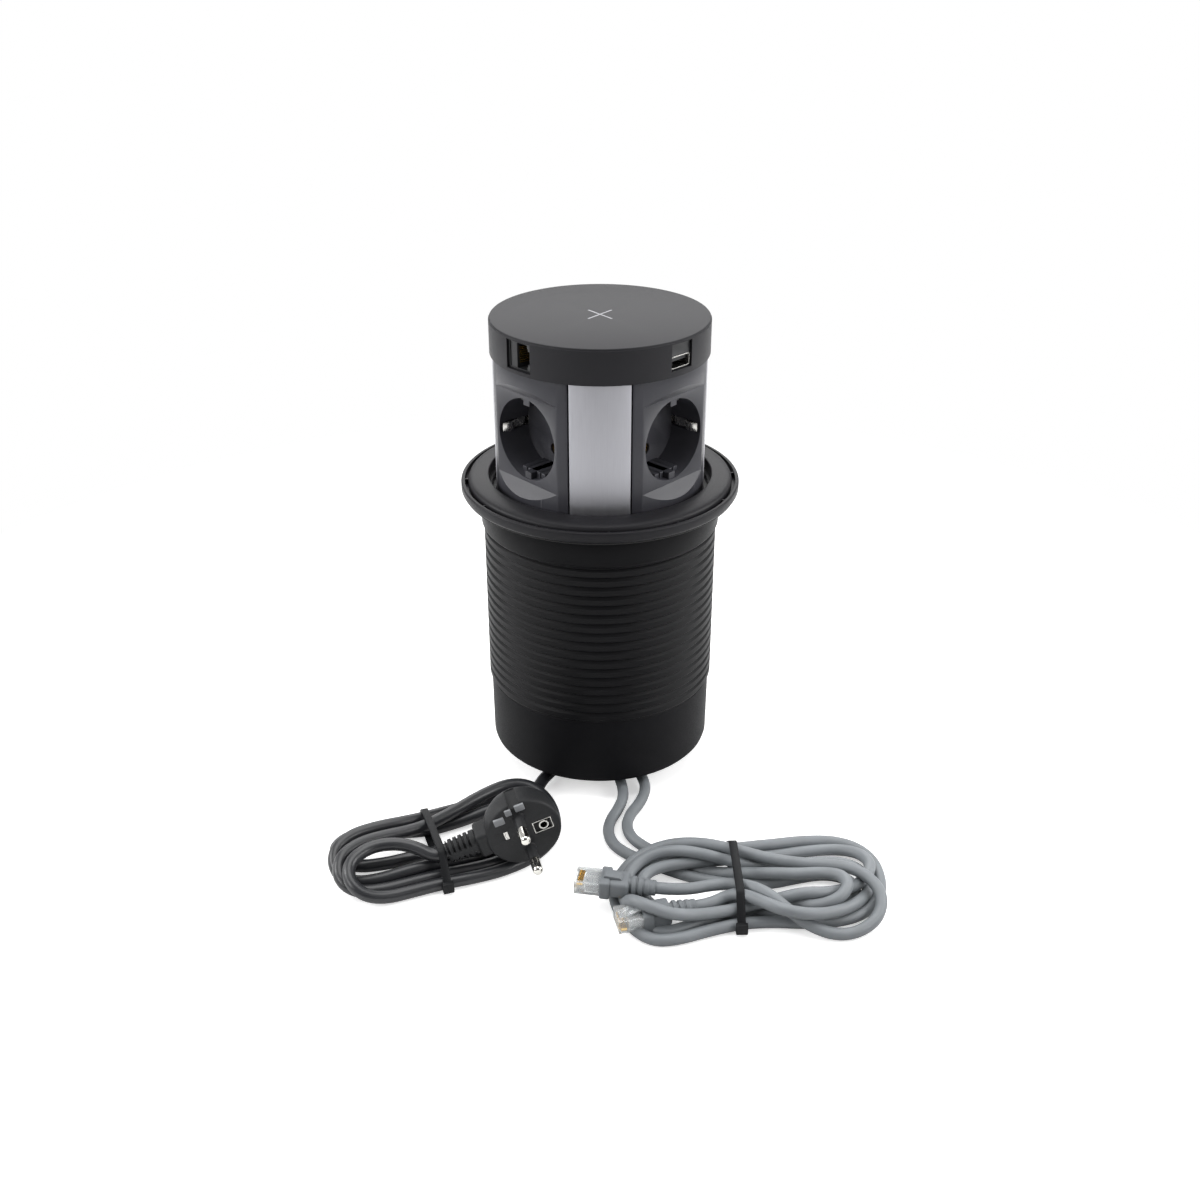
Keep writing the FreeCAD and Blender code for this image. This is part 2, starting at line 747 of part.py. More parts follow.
def hank(outline, height, edge):
    """Outer shape of a tied bundle: a flat rounded slab with a waist at the tie."""
    curve = Part.BSplineCurve()
    curve.interpolate([Vector(x, y, 0) for x, y in outline], PeriodicFlag=True)
    slab = Part.Face(Part.Wire(curve.toShape())).extrude(Vector(0, 0, height))
    return slab.makeFillet(edge, [e for e in slab.Edges if e.BoundBox.ZMin > height - 0.1])


def placed(shape, origin, along, roof):
    """Moves a shape built along +X with +Z up to a place, a direction and an up direction."""
    x = Vector(*along).normalize()
    z = Vector(*roof)
    z = (z - x * z.dot(x)).normalize()
    y = z.cross(x)
    matrix = FreeCAD.Matrix(
        x.x, y.x, z.x, origin[0], x.y, y.y, z.y, origin[1], x.z, y.z, z.z, origin[2], 0, 0, 0, 1)
    copy = shape.copy()
    copy.Placement = Placement(matrix).multiply(shape.Placement)
    return copy


def tie_band(origin, along, width, height):
    """Flat strap closed round a bundle."""
    t = tie_thickness
    outer = box(-tie_width / 2, tie_width / 2, -width / 2 - t, width / 2 + t, 0, height + 2 * t)
    corners = [e for e in outer.Edges if e.BoundBox.XLength > tie_width - 0.1]
    outer = outer.makeFillet(4.0, corners)
    inner = box(-tie_width, tie_width, -width / 2, width / 2, t, height + t)
    corners = [e for e in inner.Edges if e.BoundBox.XLength > tie_width]
    inner = inner.makeFillet(3.0, corners)
    head = box(-tie_width / 2 - 0.8, tie_width / 2 + 0.8, -width / 2 - t - tie_head, -width / 2 - t + 0.8,
               height / 2 - 2, height / 2 + 3)
    return placed(outer.fuse(head).cut(inner), origin, along, (0, 0, 1))


def bar_x(radius, x0, x1, y=0.0, z=0.0):
    """A round bar along X."""
    return Part.makeCylinder(radius, x1 - x0, Vector(x0, y, z), Vector(1, 0, 0))


def mains_plug():
    """Round plug body with a domed back, side grooves, an earth hole and a square neck, pins along +X."""
    r = plug_radius
    d = plug_body_depth
    belt = d - plug_dome - 1
    profile = [Vector(0, 0, 0), Vector(0, r - 1, 0), Vector(-1, r, 0), Vector(-belt, r, 0)]
    edges = [Part.LineSegment(a, b).toShape() for a, b in zip(profile, profile[1:])]
    shoulder = Vector(-d + plug_dome / 4, r - 0.45 * plug_dome, 0)
    crown = Vector(-d, r - plug_dome, 0)
    edges.append(Part.Arc(profile[-1], shoulder, crown).toShape())
    edges.append(Part.LineSegment(crown, Vector(-d, 0, 0)).toShape())
    edges.append(Part.LineSegment(Vector(-d, 0, 0), Vector(0, 0, 0)).toShape())
    body = Part.Face(Part.Wire(edges)).revolve(Vector(), Vector(1, 0, 0), 360)
    half = plug_neck_width / 2
    neck = box(-plug_neck_set - half, -plug_neck_set + half, r - 8, plug_neck_length, -half, half)
    neck = neck.makeFillet(2.0, [e for e in neck.Edges if e.BoundBox.YLength > 10])
    body = body.fuse(neck)
    for side in (-1, 1):
        near, far = side * (r - plug_groove_depth), side * (r + 1)
        wide = plug_groove_half
        body = body.cut(box(-plug_groove_length, 1, -wide, wide, min(near, far), max(near, far)))
    return body.cut(bar_x(earth_hole_radius, -12, 1, -r + 8, 0))


def mains_pins():
    """Two round pins with rounded tips."""
    made = []
    for side in (-1, 1):
        pin = bar_x(plug_pin_radius, 0, plug_pin_length, 0, side * pin_pitch / 2)
        tip = [e for e in pin.Edges if e.BoundBox.XMin > plug_pin_length - 0.1]
        made.append(pin.makeFillet(plug_pin_tip, tip))
    return Part.makeCompound(made)


def mains_relief():
    """Tapered ribbed sleeve where the cable leaves the plug's neck."""
    step = relief_length / relief_rings
    points = [Vector(0, 0, 0)]
    for i in range(relief_rings):
        y = i * step
        crest = relief_start_radius - (relief_start_radius - relief_end_radius) * i / (relief_rings - 1)
        root = crest - relief_groove
        points += [Vector(crest, y, 0), Vector(crest, y + step * 0.6, 0)]
        points += [Vector(root, y + step * 0.6, 0), Vector(root, y + step, 0)]
    points += [Vector(0, relief_length, 0)]
    face = Part.Face(Part.makePolygon(points + points[:1]))
    body = face.revolve(Vector(), Vector(0, 1, 0), 360)
    body.translate(Vector(-plug_neck_set, plug_neck_length, 0))
    return body


def network_plug():
    """Clear plug with its tip at the origin, pointing to -X, contacts up and latch down."""
    wide = network_plug_half
    rise = network_plug_rise
    body = box(0, network_plug_length, -wide, wide, -rise, rise)
    body = body.cut(box(1.2, 7.0, -wide + 1.5, wide - 1.5, rise - 0.6, rise + 1))
    end = network_plug_length
    latch = [(1.0, -rise), (end, -rise - 2.7), (end, -rise - 1.9), (3.0, -rise + 0.1)]
    corners = [Vector(x, -wide / 2, z) for x, z in latch]
    arm = Part.Face(Part.makePolygon(corners + corners[:1])).extrude(Vector(0, wide, 0))
    return body.fuse(arm)


def network_boot():
    """Boot behind the clear plug, with a ribbed tail."""
    start = network_plug_length
    tail_start = start + boot_length
    block = box(start, tail_start, -boot_half, boot_half, -boot_rise, boot_rise)
    block = block.makeFillet(1.5, [e for e in block.Edges if e.BoundBox.XLength > 10])
    step = boot_tail / boot_rings
    points = [Vector(tail_start - 1, 0, 0)]
    for i in range(boot_rings):
        x = tail_start + i * step
        crest = network_diameter / 2 + 1.7 - 0.9 * i / (boot_rings - 1)
        root = crest - 0.8
        near = x if i else x - 1
        points += [Vector(near, root, 0), Vector(x + step * 0.4, root, 0)]
        points += [Vector(x + step * 0.4, crest, 0), Vector(x + step, crest, 0)]
    points += [Vector(tail_start + boot_tail, 0, 0)]
    tail = Part.Face(Part.makePolygon(points + points[:1])).revolve(Vector(), Vector(1, 0, 0), 360)
    return block.fuse(tail)


def from_exit(azimuth, route):
    """A route that starts on the outer face of its gland."""
    reach = outlet_radius + gland_length
    a = math.radians(azimuth)
    return [(reach * math.sin(a), -reach * math.cos(a), exit_height)] + route


def build():
    """Makes every node and writes it."""
    mains_half = mains_diameter / 2
    network_half = network_diameter / 2
    exits = [(mains_exit, mains_half + gland_wall)] + [(a, network_half + gland_wall) for a in network_exits]
    save("cable_outlet", cable_outlet(exits))
    save("mains_gland", gland(mains_exit, mains_half))
    for i, azimuth in enumerate(network_exits, 1):
        save("network_gland_%d" % i, gland(azimuth, network_half))
    save("base_cup", base_cup())
    save("base_screws", base_screws())
    save("outer_sleeve", outer_sleeve())
    save("clamp_collar", clamp_collar())
    save("seal_ring", seal_ring())
    save("mounting_flange", mounting_flange())
    save("bezel_ring", bezel_ring())
    save("inner_lead", inner_lead())

    save("head_cap", head_cap())
    save("charge_mark", cross_mark(mark_line, tower_top - mark_depth, tower_top))
    save("charging_coil", charging_coil())
    save("charger_board", charger_board())
    save("head_tray", head_tray())
    save("core_column", core_column())
    save("tower_base", tower_base())
    save("friction_ring", friction_ring())
    save("stop_ring", stop_ring())
    faces = [-socket_azimuth, socket_azimuth, 180 - socket_azimuth, 180 + socket_azimuth]
    for i, azimuth in enumerate(faces, 1):
        save("socket_panel_%d" % i, turned(socket_panel(), azimuth))
        save("earth_contact_%d" % i, turned(earth_contact(), azimuth))
    save("live_contacts", live_contacts(faces))
    sides = {"front": (0, strip_half_angle), "right": (90, side_strip_half),
             "back": (180, strip_half_angle), "left": (270, side_strip_half)}
    for name, (azimuth, half_angle) in sides.items():
        save("strip_" + name, turned(strip(half_angle), azimuth))
    for i, azimuth in enumerate((-port_azimuth, 180 - port_azimuth), 1):
        save("network_jack_%d" % i, turned(network_jack(), azimuth))
        save("jack_contacts_%d" % i, turned(jack_contacts(), azimuth))
    for i, azimuth in enumerate((port_azimuth, port_azimuth - 180), 1):
        save("usb_port_%d" % i, turned(usb_port(), azimuth))
        save("usb_shell_%d" % i, turned(usb_shell(), azimuth))

    save("mains_cord", cord_tube("mains_cord", from_exit(mains_exit, mains_route), mains_diameter))
    save("mains_hank", hank(mains_outline, hank_layers * mains_diameter, hank_edge))
    save("mains_plug", placed(mains_plug(), plug_face, plug_axis, plug_roof))
    save("mains_pins", placed(mains_pins(), plug_face, plug_axis, plug_roof))
    save("mains_relief", placed(mains_relief(), plug_face, plug_axis, plug_roof))
    save("mains_tie", tie_band(mains_tie_place, mains_tie_way, mains_tie_inside, hank_layers * mains_diameter))
    for i, (azimuth, route) in enumerate(zip(network_exits, network_routes), 1):
        name = "network_cord_%d" % i
        save(name, cord_tube(name, from_exit(azimuth, route), network_diameter))
    save("network_hank", hank(network_outline, hank_layers * network_diameter, hank_edge))
    for i, (origin, along, roof) in enumerate(network_plug_places, 1):
        save("network_plug_%d" % i, placed(network_plug(), origin, along, roof))
        save("network_boot_%d" % i, placed(network_boot(), origin, along, roof))
    save("network_tie", tie_band(network_tie_place, network_tie_way, network_tie_inside,
                                 hank_layers * network_diameter))


build()
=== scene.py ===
"""In-desk power module: finely shaped pieces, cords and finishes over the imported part.
Lengths are written in millimetres and turned to metres where a mesh is made."""
import math

import bpy
from mathutils import Matrix, Vector


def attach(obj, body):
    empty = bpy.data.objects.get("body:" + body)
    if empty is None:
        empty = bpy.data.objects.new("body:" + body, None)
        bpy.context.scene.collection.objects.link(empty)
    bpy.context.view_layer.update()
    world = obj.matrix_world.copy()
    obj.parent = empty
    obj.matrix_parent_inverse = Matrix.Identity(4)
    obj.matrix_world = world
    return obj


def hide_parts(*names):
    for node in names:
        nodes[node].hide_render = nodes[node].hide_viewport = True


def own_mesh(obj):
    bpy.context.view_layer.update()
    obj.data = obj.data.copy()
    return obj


bl_info = {
    "name": "Desk power module",
    "version": (1, 0, 0),
    "blender": (4, 5, 0),
    "location": "3D View > Sidebar > Power module",
    "description": "Looks of a pop-up desk power module with sockets, ports and tied cords",
    "category": "Add Mesh",
}

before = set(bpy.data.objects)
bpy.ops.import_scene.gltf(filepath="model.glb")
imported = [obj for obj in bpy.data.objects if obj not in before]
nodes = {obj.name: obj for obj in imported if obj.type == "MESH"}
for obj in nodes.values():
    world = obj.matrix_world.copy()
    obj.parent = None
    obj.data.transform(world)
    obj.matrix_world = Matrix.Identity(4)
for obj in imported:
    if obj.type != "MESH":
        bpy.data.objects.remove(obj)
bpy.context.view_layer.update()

MM = 0.001
SAME_PLACE = 0.000002
# faces round a full turn
TURN = 192

# Radii and heights shared by several pieces
TOWER_R = 51.5
HEAD_R = 52.6
HEAD_LOW, HEAD_TOP = 220.9, 238.0
PANEL_LOW, PANEL_TOP = 143.0, 220.9
SOCKET_Z = 187.7
FLAT = 46.9
LEDGE_RISE, LEDGE_DROP = 5.3, 6.5
FLAT_HALF = 21.35
RECESS_R, RECESS_DEPTH = 19.75, 17.5
KEY_IN, KEY_OUT = 16.4, 19.9
PIN_OFF, PIN_HOLE_R = 9.5, 3.0
PORT_TOP = 236.25
SCREW_CIRCLE = 47.0
SLEEVE_LOW, SLEEVE_TOP = 47.0, 151.0
SLEEVE_R, RIB_R, BORE_R = 57.2, 58.3, 54.2
RIB_START = SLEEVE_LOW + 0.8
COLLAR_LOW, COLLAR_TOP = 133.0, 150.2
SOCKET_TURNS = (-47.0, 47.0, 133.0, 227.0)


class ModuleLook(bpy.types.PropertyGroup):
    rib_pitch: bpy.props.FloatProperty(
        name="Rib pitch", description="Height of one ring rib of the sleeve", default=0.005,
        min=0.003, unit="LENGTH")
    rib_count: bpy.props.IntProperty(
        name="Ribs", description="Number of ring ribs on the sleeve", default=17, min=1)
    housing_colour: bpy.props.FloatVectorProperty(
        name="Housing colour", description="Moulded plastic of the sleeve, cup and foot", size=3,
        default=(0.0060, 0.0060, 0.0068), min=0.0, max=1.0, subtype="COLOR")
    head_colour: bpy.props.FloatVectorProperty(
        name="Head colour", description="Satin lacquer of the head", size=3,
        default=(0.0158, 0.0155, 0.0180), min=0.0, max=1.0, subtype="COLOR")
    cable_grey: bpy.props.FloatVectorProperty(
        name="Network cable colour", description="Soft PVC jacket of the network cables", size=3,
        default=(0.1760, 0.1900, 0.2020), min=0.0, max=1.0, subtype="COLOR")


class CordLook(bpy.types.PropertyGroup):
    mains_diameter: bpy.props.FloatProperty(
        name="Mains lead", description="Diameter of the mains lead", default=0.0062,
        min=0.004, unit="LENGTH")
    network_diameter: bpy.props.FloatProperty(
        name="Network cable", description="Diameter of each network cable", default=0.0056,
        min=0.003, unit="LENGTH")


# Modelling helpers

def begin():
    """Leaves edit mode with nothing selected."""
    if bpy.context.object and bpy.context.object.mode != "OBJECT":
        bpy.ops.object.mode_set(mode="OBJECT")
    bpy.ops.object.select_all(action="DESELECT")


def active(piece):
    """Makes one piece the only selected one."""
    begin()
    piece.select_set(True)
    bpy.context.view_layer.objects.active = piece


def settle(piece, turn=0.0, matrix=None):
    """Puts a piece's place into its mesh."""
    active(piece)
    if turn:
        piece.matrix_world = Matrix.Rotation(math.radians(turn), 4, "Z") @ piece.matrix_world
    if matrix is not None:
        piece.matrix_world = matrix @ piece.matrix_world
    bpy.context.view_layer.update()
    bpy.ops.object.transform_apply(location=True, rotation=True, scale=True)
    return piece


def opened(piece):
    """Opens a piece in edit mode with all of it selected."""
    active(piece)
    bpy.ops.object.mode_set(mode="EDIT")
    bpy.ops.mesh.select_all(action="SELECT")


def outwards(piece):
    """Turns all faces outwards and leaves edit mode."""
    bpy.ops.mesh.select_all(action="SELECT")
    bpy.ops.mesh.normals_make_consistent(inside=False)
    bpy.ops.object.mode_set(mode="OBJECT")
    return piece


def clean(piece):
    """Merges doubles and turns the faces outwards."""
    opened(piece)
    bpy.ops.mesh.remove_doubles(threshold=SAME_PLACE)
    return outwards(piece)


def named(piece, name):
    """Names a piece and its data."""
    piece.name = name
    piece.data.name = name
    return piece


def outline(name, points):
    """Draws a closed line through (x, y, z) points by extruding one vertex along it."""
    begin()
    bpy.ops.mesh.primitive_plane_add(size=0.001, location=(0, 0, 0))
    piece = named(bpy.context.object, name)
    opened(piece)
    bpy.ops.mesh.merge(type="CENTER")
    here = Vector()
    for i, point in enumerate(list(points) + [points[0]]):
        step = Vector(point) * MM - here
        if i == 0:
            bpy.ops.transform.translate(value=step)
        else:
            bpy.ops.mesh.extrude_vertices_move(TRANSFORM_OT_translate={"value": step})
        here = Vector(point) * MM
    bpy.ops.mesh.select_all(action="SELECT")
    bpy.ops.mesh.remove_doubles(threshold=SAME_PLACE)
    bpy.ops.object.mode_set(mode="OBJECT")
    return piece


def turned(name, profile, half_angle=None, steps=TURN):
    """Turns a closed (radius, height) profile about the axis, all round or to each side of the front."""
    full = half_angle is None
    # a part turn runs clockwise, so it starts at the right end
    start = 0.0 if full else math.radians(half_angle)
    angle = 2 * math.pi if full else 2 * start
    piece = outline(name, [(r * math.sin(start), -r * math.cos(start), z) for r, z in profile])
    opened(piece)
    bpy.ops.mesh.spin(steps=steps, angle=angle, center=(0, 0, 0), axis=(0, 0, 1))
    bpy.ops.mesh.select_all(action="SELECT")
    bpy.ops.mesh.remove_doubles(threshold=SAME_PLACE)
    if not full:
        bpy.ops.mesh.select_all(action="DESELECT")
        bpy.ops.mesh.select_mode(type="EDGE")
        bpy.ops.mesh.select_non_manifold()
        bpy.ops.mesh.fill_holes(sides=0)
        bpy.ops.mesh.select_mode(type="VERT")
    return outwards(piece)


def prism(name, points, way):
    """Extrudes a closed outline of (x, y, z) points along a vector."""
    piece = outline(name, points)
    opened(piece)
    bpy.ops.mesh.edge_face_add()
    bpy.ops.mesh.extrude_region_move(TRANSFORM_OT_translate={"value": Vector(way) * MM})
    return outwards(piece)


def block(name, low, high):
    """A block between two corners, as a start for a cut or a shaped piece."""
    begin()
    middle = [(a + b) / 2 * MM for a, b in zip(low, high)]
    size = [(b - a) * MM for a, b in zip(low, high)]
    bpy.ops.mesh.primitive_cube_add(size=1.0, location=middle, scale=size)
    piece = bpy.context.object
    piece.name = name
    return settle(piece)


def bar(name, radius, y0, y1, x=0.0, z=0.0, sides=64):
    """A round bar along Y."""
    begin()
    bpy.ops.mesh.primitive_cylinder_add(
        vertices=sides, radius=radius * MM, depth=(y1 - y0) * MM,
        location=(x * MM, (y0 + y1) / 2 * MM, z * MM), rotation=(math.pi / 2, 0, 0))
    piece = bpy.context.object
    piece.name = name
    return settle(piece)


def carve(piece, tool, operation="DIFFERENCE"):
    """Cuts a tool out of a piece, or adds it, and removes the tool."""
    active(piece)
    change = piece.modifiers.new("carve", "BOOLEAN")
    change.operation = operation
    change.solver = "EXACT"
    change.object = tool
    bpy.ops.object.modifier_apply(modifier=change.name)
    bpy.data.objects.remove(tool)
    return piece


def cut(piece, low, high):
    """Cuts a block between two corners out of a piece."""
    return carve(piece, block("cut", low, high))


def soften(piece, width, segments=2, angle=35.0):
    """Rounds a piece's sharp edges."""
    active(piece)
    bevel = piece.modifiers.new("edges", "BEVEL")
    bevel.width = width * MM
    bevel.segments = segments
    bevel.limit_method = "ANGLE"
    bevel.angle_limit = math.radians(angle)
    bpy.ops.object.modifier_apply(modifier=bevel.name)
    return piece


def smooth(piece, angle=32.0):
    """Smooth shading with its sharp edges kept."""
    active(piece)
    bpy.ops.object.shade_smooth_by_angle(angle=math.radians(angle))
    return piece


def join(pieces, name):
    """Joins pieces into the first one."""
    begin()
    for piece in pieces:
        piece.select_set(True)
    bpy.context.view_layer.objects.active = pieces[0]
    if len(pieces) > 1:
        bpy.ops.object.join()
    return named(pieces[0], name)


def copied(piece, name, turn=0.0, matrix=None):
    """A copy with its own mesh, turned about the axis."""
    other = piece.copy()
    other.data = piece.data.copy()
    bpy.context.scene.collection.objects.link(other)
    return settle(named(other, name), turn, matrix)


def remove(*pieces):
    """Removes pieces that were only models for copies."""
    for piece in pieces:
        bpy.data.objects.remove(piece)


def finish_piece(piece, body, slot, look, *stands_for):
    """Gives a finished piece its body and finish, and hides the nodes it stands for; the slot is not used.
    """
    piece.data.materials.clear()
    piece.data.materials.append(finish(look))
    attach(piece, body)
    if stands_for:
        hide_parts(*stands_for)
    return piece


# Finishes

def linear(code):
    """An sRGB hex colour as linear red, green and blue."""
    parts = [int(code[i:i + 2], 16) / 255 for i in (1, 3, 5)]
    return [c / 12.92 if c <= 0.04045 else ((c + 0.055) / 1.055) ** 2.4 for c in parts] + [1.0]


def add_node(tree, kind, settings=(), links=()):
    """Adds a node, sets its values and sockets, and links other sockets into it."""
    node = tree.nodes.new(kind)
    for key, value in dict(settings).items():
        if key in node.inputs:
            node.inputs[key].default_value = value
        elif key.isdigit():
            node.inputs[int(key)].default_value = value
        else:
            setattr(node, key, value)
    for key, source in dict(links).items():
        tree.links.new(source, node.inputs[int(key)] if key.isdigit() else node.inputs[key])
    return node


def ramp(tree, source, stops):
    """A colour ramp of (position, colour) stops over a value."""
    node = add_node(tree, "ShaderNodeValToRGB", links={"Fac": source})
    line = node.color_ramp.elements
    while len(line) < len(stops):
        line.new(0.5)
    for stop, (where, colour) in zip(line, stops):
        stop.position = where
        stop.color = colour
    return node.outputs["Color"]


def scaled(colour, factor):
    return [min(1.0, c * factor) for c in colour[:3]] + [1.0]


def surface(name, tints, drift, grain, roughs, reach=(0.3, 0.7), relief=None, stretch=None, sockets=()):
    """A material whose colour follows one noise, its gloss and faint relief another.

    drift and grain are (scale, detail) pairs, relief is (strength, distance in mm).
    """
    made = bpy.data.materials.new(name)
    made.use_nodes = True
    tree = made.node_tree
    shader = tree.nodes["Principled BSDF"]
    place = add_node(tree, "ShaderNodeTexCoord").outputs["Object"]
    if stretch:
        place = add_node(tree, "ShaderNodeMapping", {"Scale": stretch}, {"Vector": place}).outputs["Vector"]
    broad, fine = [add_node(tree, "ShaderNodeTexNoise", {"Scale": scale, "Detail": detail},
                            {"Vector": place}).outputs["Fac"] for scale, detail in (drift, grain)]
    tint = ramp(tree, broad, list(zip((0.3, 0.7), tints)))
    gloss = ramp(tree, fine, [(where, [rough] * 3 + [1]) for where, rough in zip(reach, roughs)])
    tree.links.new(tint, shader.inputs["Base Color"])
    tree.links.new(gloss, shader.inputs["Roughness"])
    if relief:
        bump = add_node(tree, "ShaderNodeBump", {"Strength": relief[0], "Distance": relief[1] * MM},
                        {"Height": fine})
        tree.links.new(bump.outputs["Normal"], shader.inputs["Normal"])
    for key, value in dict(sockets).items():
        shader.inputs[key].default_value = value
    return made


def moulded(name, colour, grain_mm, roughs, depth, specular=0.5, cloud=0.12):
    """Moulded or lacquered plastic: a fine grain, slight clouding of colour and of gloss."""
    tints = (scaled(colour, 1 - cloud), scaled(colour, 1 + cloud))
    return surface(name, tints, (45.0, 4.0), (1000 / grain_mm, 3.0), roughs, (0.35, 0.65), (0.35, depth),
                   sockets={"IOR": 1.5, "Specular IOR Level": specular})


def metal(name, colour, roughs, streak_mm, stretch, depth):
    """Drawn or brushed metal: streaks that run one way, with the gloss broken up along them."""
    streak = (1000 / streak_mm, 4.0)
    return surface(name, (scaled(colour, 0.95), scaled(colour, 1.04)), streak, streak, roughs,
                   relief=(0.3, depth), stretch=stretch, sockets={"Metallic": 1.0})


def cable(name, colour, rough, wave_mm):
    """Extruded PVC jacket: satin, with a faint waviness and slight dulling along its length."""
    return surface(name, (scaled(colour, 0.88), scaled(colour, 1.1)), (60.0, 3.0), (1000 / wave_mm, 5.0),
                   (rough - 0.07, rough + 0.07), relief=(0.25, 0.08), sockets={"IOR": 1.53})


def clear_plastic(name):
    """Clear polycarbonate: see-through with milky flow marks."""
    flow = (260.0, 3.0)
    return surface(name, (linear("#e4e8ea"), linear("#f6f8f8")), flow, flow, (0.06, 0.22),
                   sockets={"IOR": 1.58, "Transmission Weight": 0.75})


# streaks drawn out along Z
UPRIGHT = (1.0, 1.0, 0.03)
finishes = {}


def finish(name):
    """The finish of that name, made once."""
    if not finishes:
        look = bpy.context.scene.module_look
        housing, head, grey = look.housing_colour, look.head_colour, look.cable_grey
        # moulded: colour, grain in mm, roughness range, relief in mm, specular level, clouding
        # metal: colour, roughness range, streak in mm, stretch of the streaks, relief in mm
        finishes.update({
            # soft sheen, fine even spark grain
            "sleeve_abs": moulded("moulded_abs_black", housing, 0.5, (0.4, 0.52), 0.03, 0.11),
            # nearly smooth, broad dull reflections
            "cup_abs": moulded("polished_abs_black", scaled(housing, 1.5), 0.7, (0.46, 0.56), 0.015, 0.05),
            # smooth band, a little glossier
            "collar_abs": moulded("glossy_abs_black", scaled(housing, 1.05), 0.8, (0.4, 0.48), 0.01, 0.07),
            # dark lacquer with a greyish sheen under the top light
            "satin_lacquer": moulded("satin_lacquer_black", head, 0.35, (0.46, 0.56), 0.02, 0.17, 0.02),
            # the same lacquer on flange and bezel, its colour darkened as painted shade
            "trim_lacquer_painted_shade": moulded("satin_lacquer_trim_painted_shade", scaled(head, 0.8), 0.35, (0.38, 0.48), 0.02, 0.16,
                                    0.06),
            # dark grey, matt, a fine moulded grain
            "socket_pa": moulded("moulded_polyamide_black", linear("#3a3a3f"), 0.4, (0.32, 0.42), 0.03,
                                 0.26),
            # coarser grain on the port blocks
            "port_abs": moulded("grained_abs_port", linear("#1c1d1f"), 0.3, (0.42, 0.56), 0.05, 0.5),
            # plain matt black of hidden mouldings
            "inner_abs": moulded("inner_abs_black", linear("#1a1a1c"), 0.6, (0.45, 0.6), 0.03, 0.4),
            # light satin grey with fine upright draw lines
            "aluminium": metal("anodised_aluminium", linear("#a8a8ad"), (0.5, 0.58), 0.35, UPRIGHT, 0.003),
            # bright grey strip with rolling lines
            "spring_steel": metal("rolled_spring_steel", linear("#c9c8c4"), (0.16, 0.3), 0.3, (1, 1, 0.1),
                                  0.01),
            # warm white shine, hardly any marks
            "nickel": metal("polished_nickel", linear("#d3d1cb"), (0.08, 0.2), 0.3, (1, 1, 1), 0.006),
            # yellow with drawing lines
            "brass": metal("drawn_brass", linear("#c9a455"), (0.22, 0.36), 0.3, (1, 0.1, 1), 0.01),
            # deep yellow shine
            "gold": metal("gold_plated_wire", linear("#d9b054"), (0.15, 0.28), 0.3, (1, 0.1, 1), 0.005),
            # cool grey, slightly cloudy shine
            "screw": metal("zinc_plated_steel", linear("#9a9ca0"), (0.25, 0.4), 0.4, (1, 1, 1), 0.01),
            # red-brown wire under clear enamel, ring by ring
            "copper": metal("enamelled_copper", linear("#b56a3c"), (0.25, 0.4), 0.6, (1, 1, 6), 0.05),
            # dull black
            "rubber": moulded("nitrile_rubber", linear("#161617"), 0.6, (0.6, 0.75), 0.04, 0.35),
            # black with a weak sheen
            "nylon": moulded("nylon_tie_black", linear("#121315"), 0.5, (0.46, 0.58), 0.03, 0.2),
            # cloudy green, fairly glossy
            "board": moulded("solder_resist_green", linear("#1f5a37"), 0.8, (0.25, 0.4), 0.02, 0.5, 0.2),
            # flat mid-grey print
            "mark": moulded("printed_mark_grey", linear("#8e8e92"), 0.3, (0.5, 0.62), 0.01, 0.4, 0.05),
            # satin near-black jacket
            "lead_black": cable("pvc_jacket_black", linear("#222326"), 0.36, 0.5),
            # satin mid-grey jacket
            "lead_grey": cable("pvc_jacket_grey", grey, 0.5, 0.45),
            # matt black, leathery grain
            "plug_black": moulded("moulded_pvc_black", linear("#18191b"), 0.35, (0.5, 0.66), 0.05, 0.34),
            # light grey pads on the plug's face
            "plug_pad": moulded("moulded_pvc_pad_grey", linear("#85878a"), 0.35, (0.5, 0.66), 0.05, 0.45),
            # the jacket's grey, a little darker
            "boot_grey": moulded("moulded_pvc_grey", scaled(grey, 0.86), 0.6, (0.5, 0.64), 0.03, 0.4, 0.06),
            # clear with milky flow marks
            "plug_clear": clear_plastic("clear_polycarbonate"),
        })
    return finishes[name]


class BuildOperator:
    """What the building steps share."""
    bl_options = {"REGISTER", "UNDO"}

    def execute(self, context):
        self.build(context.scene.module_look, context.scene.cord_look)
        return {"FINISHED"}


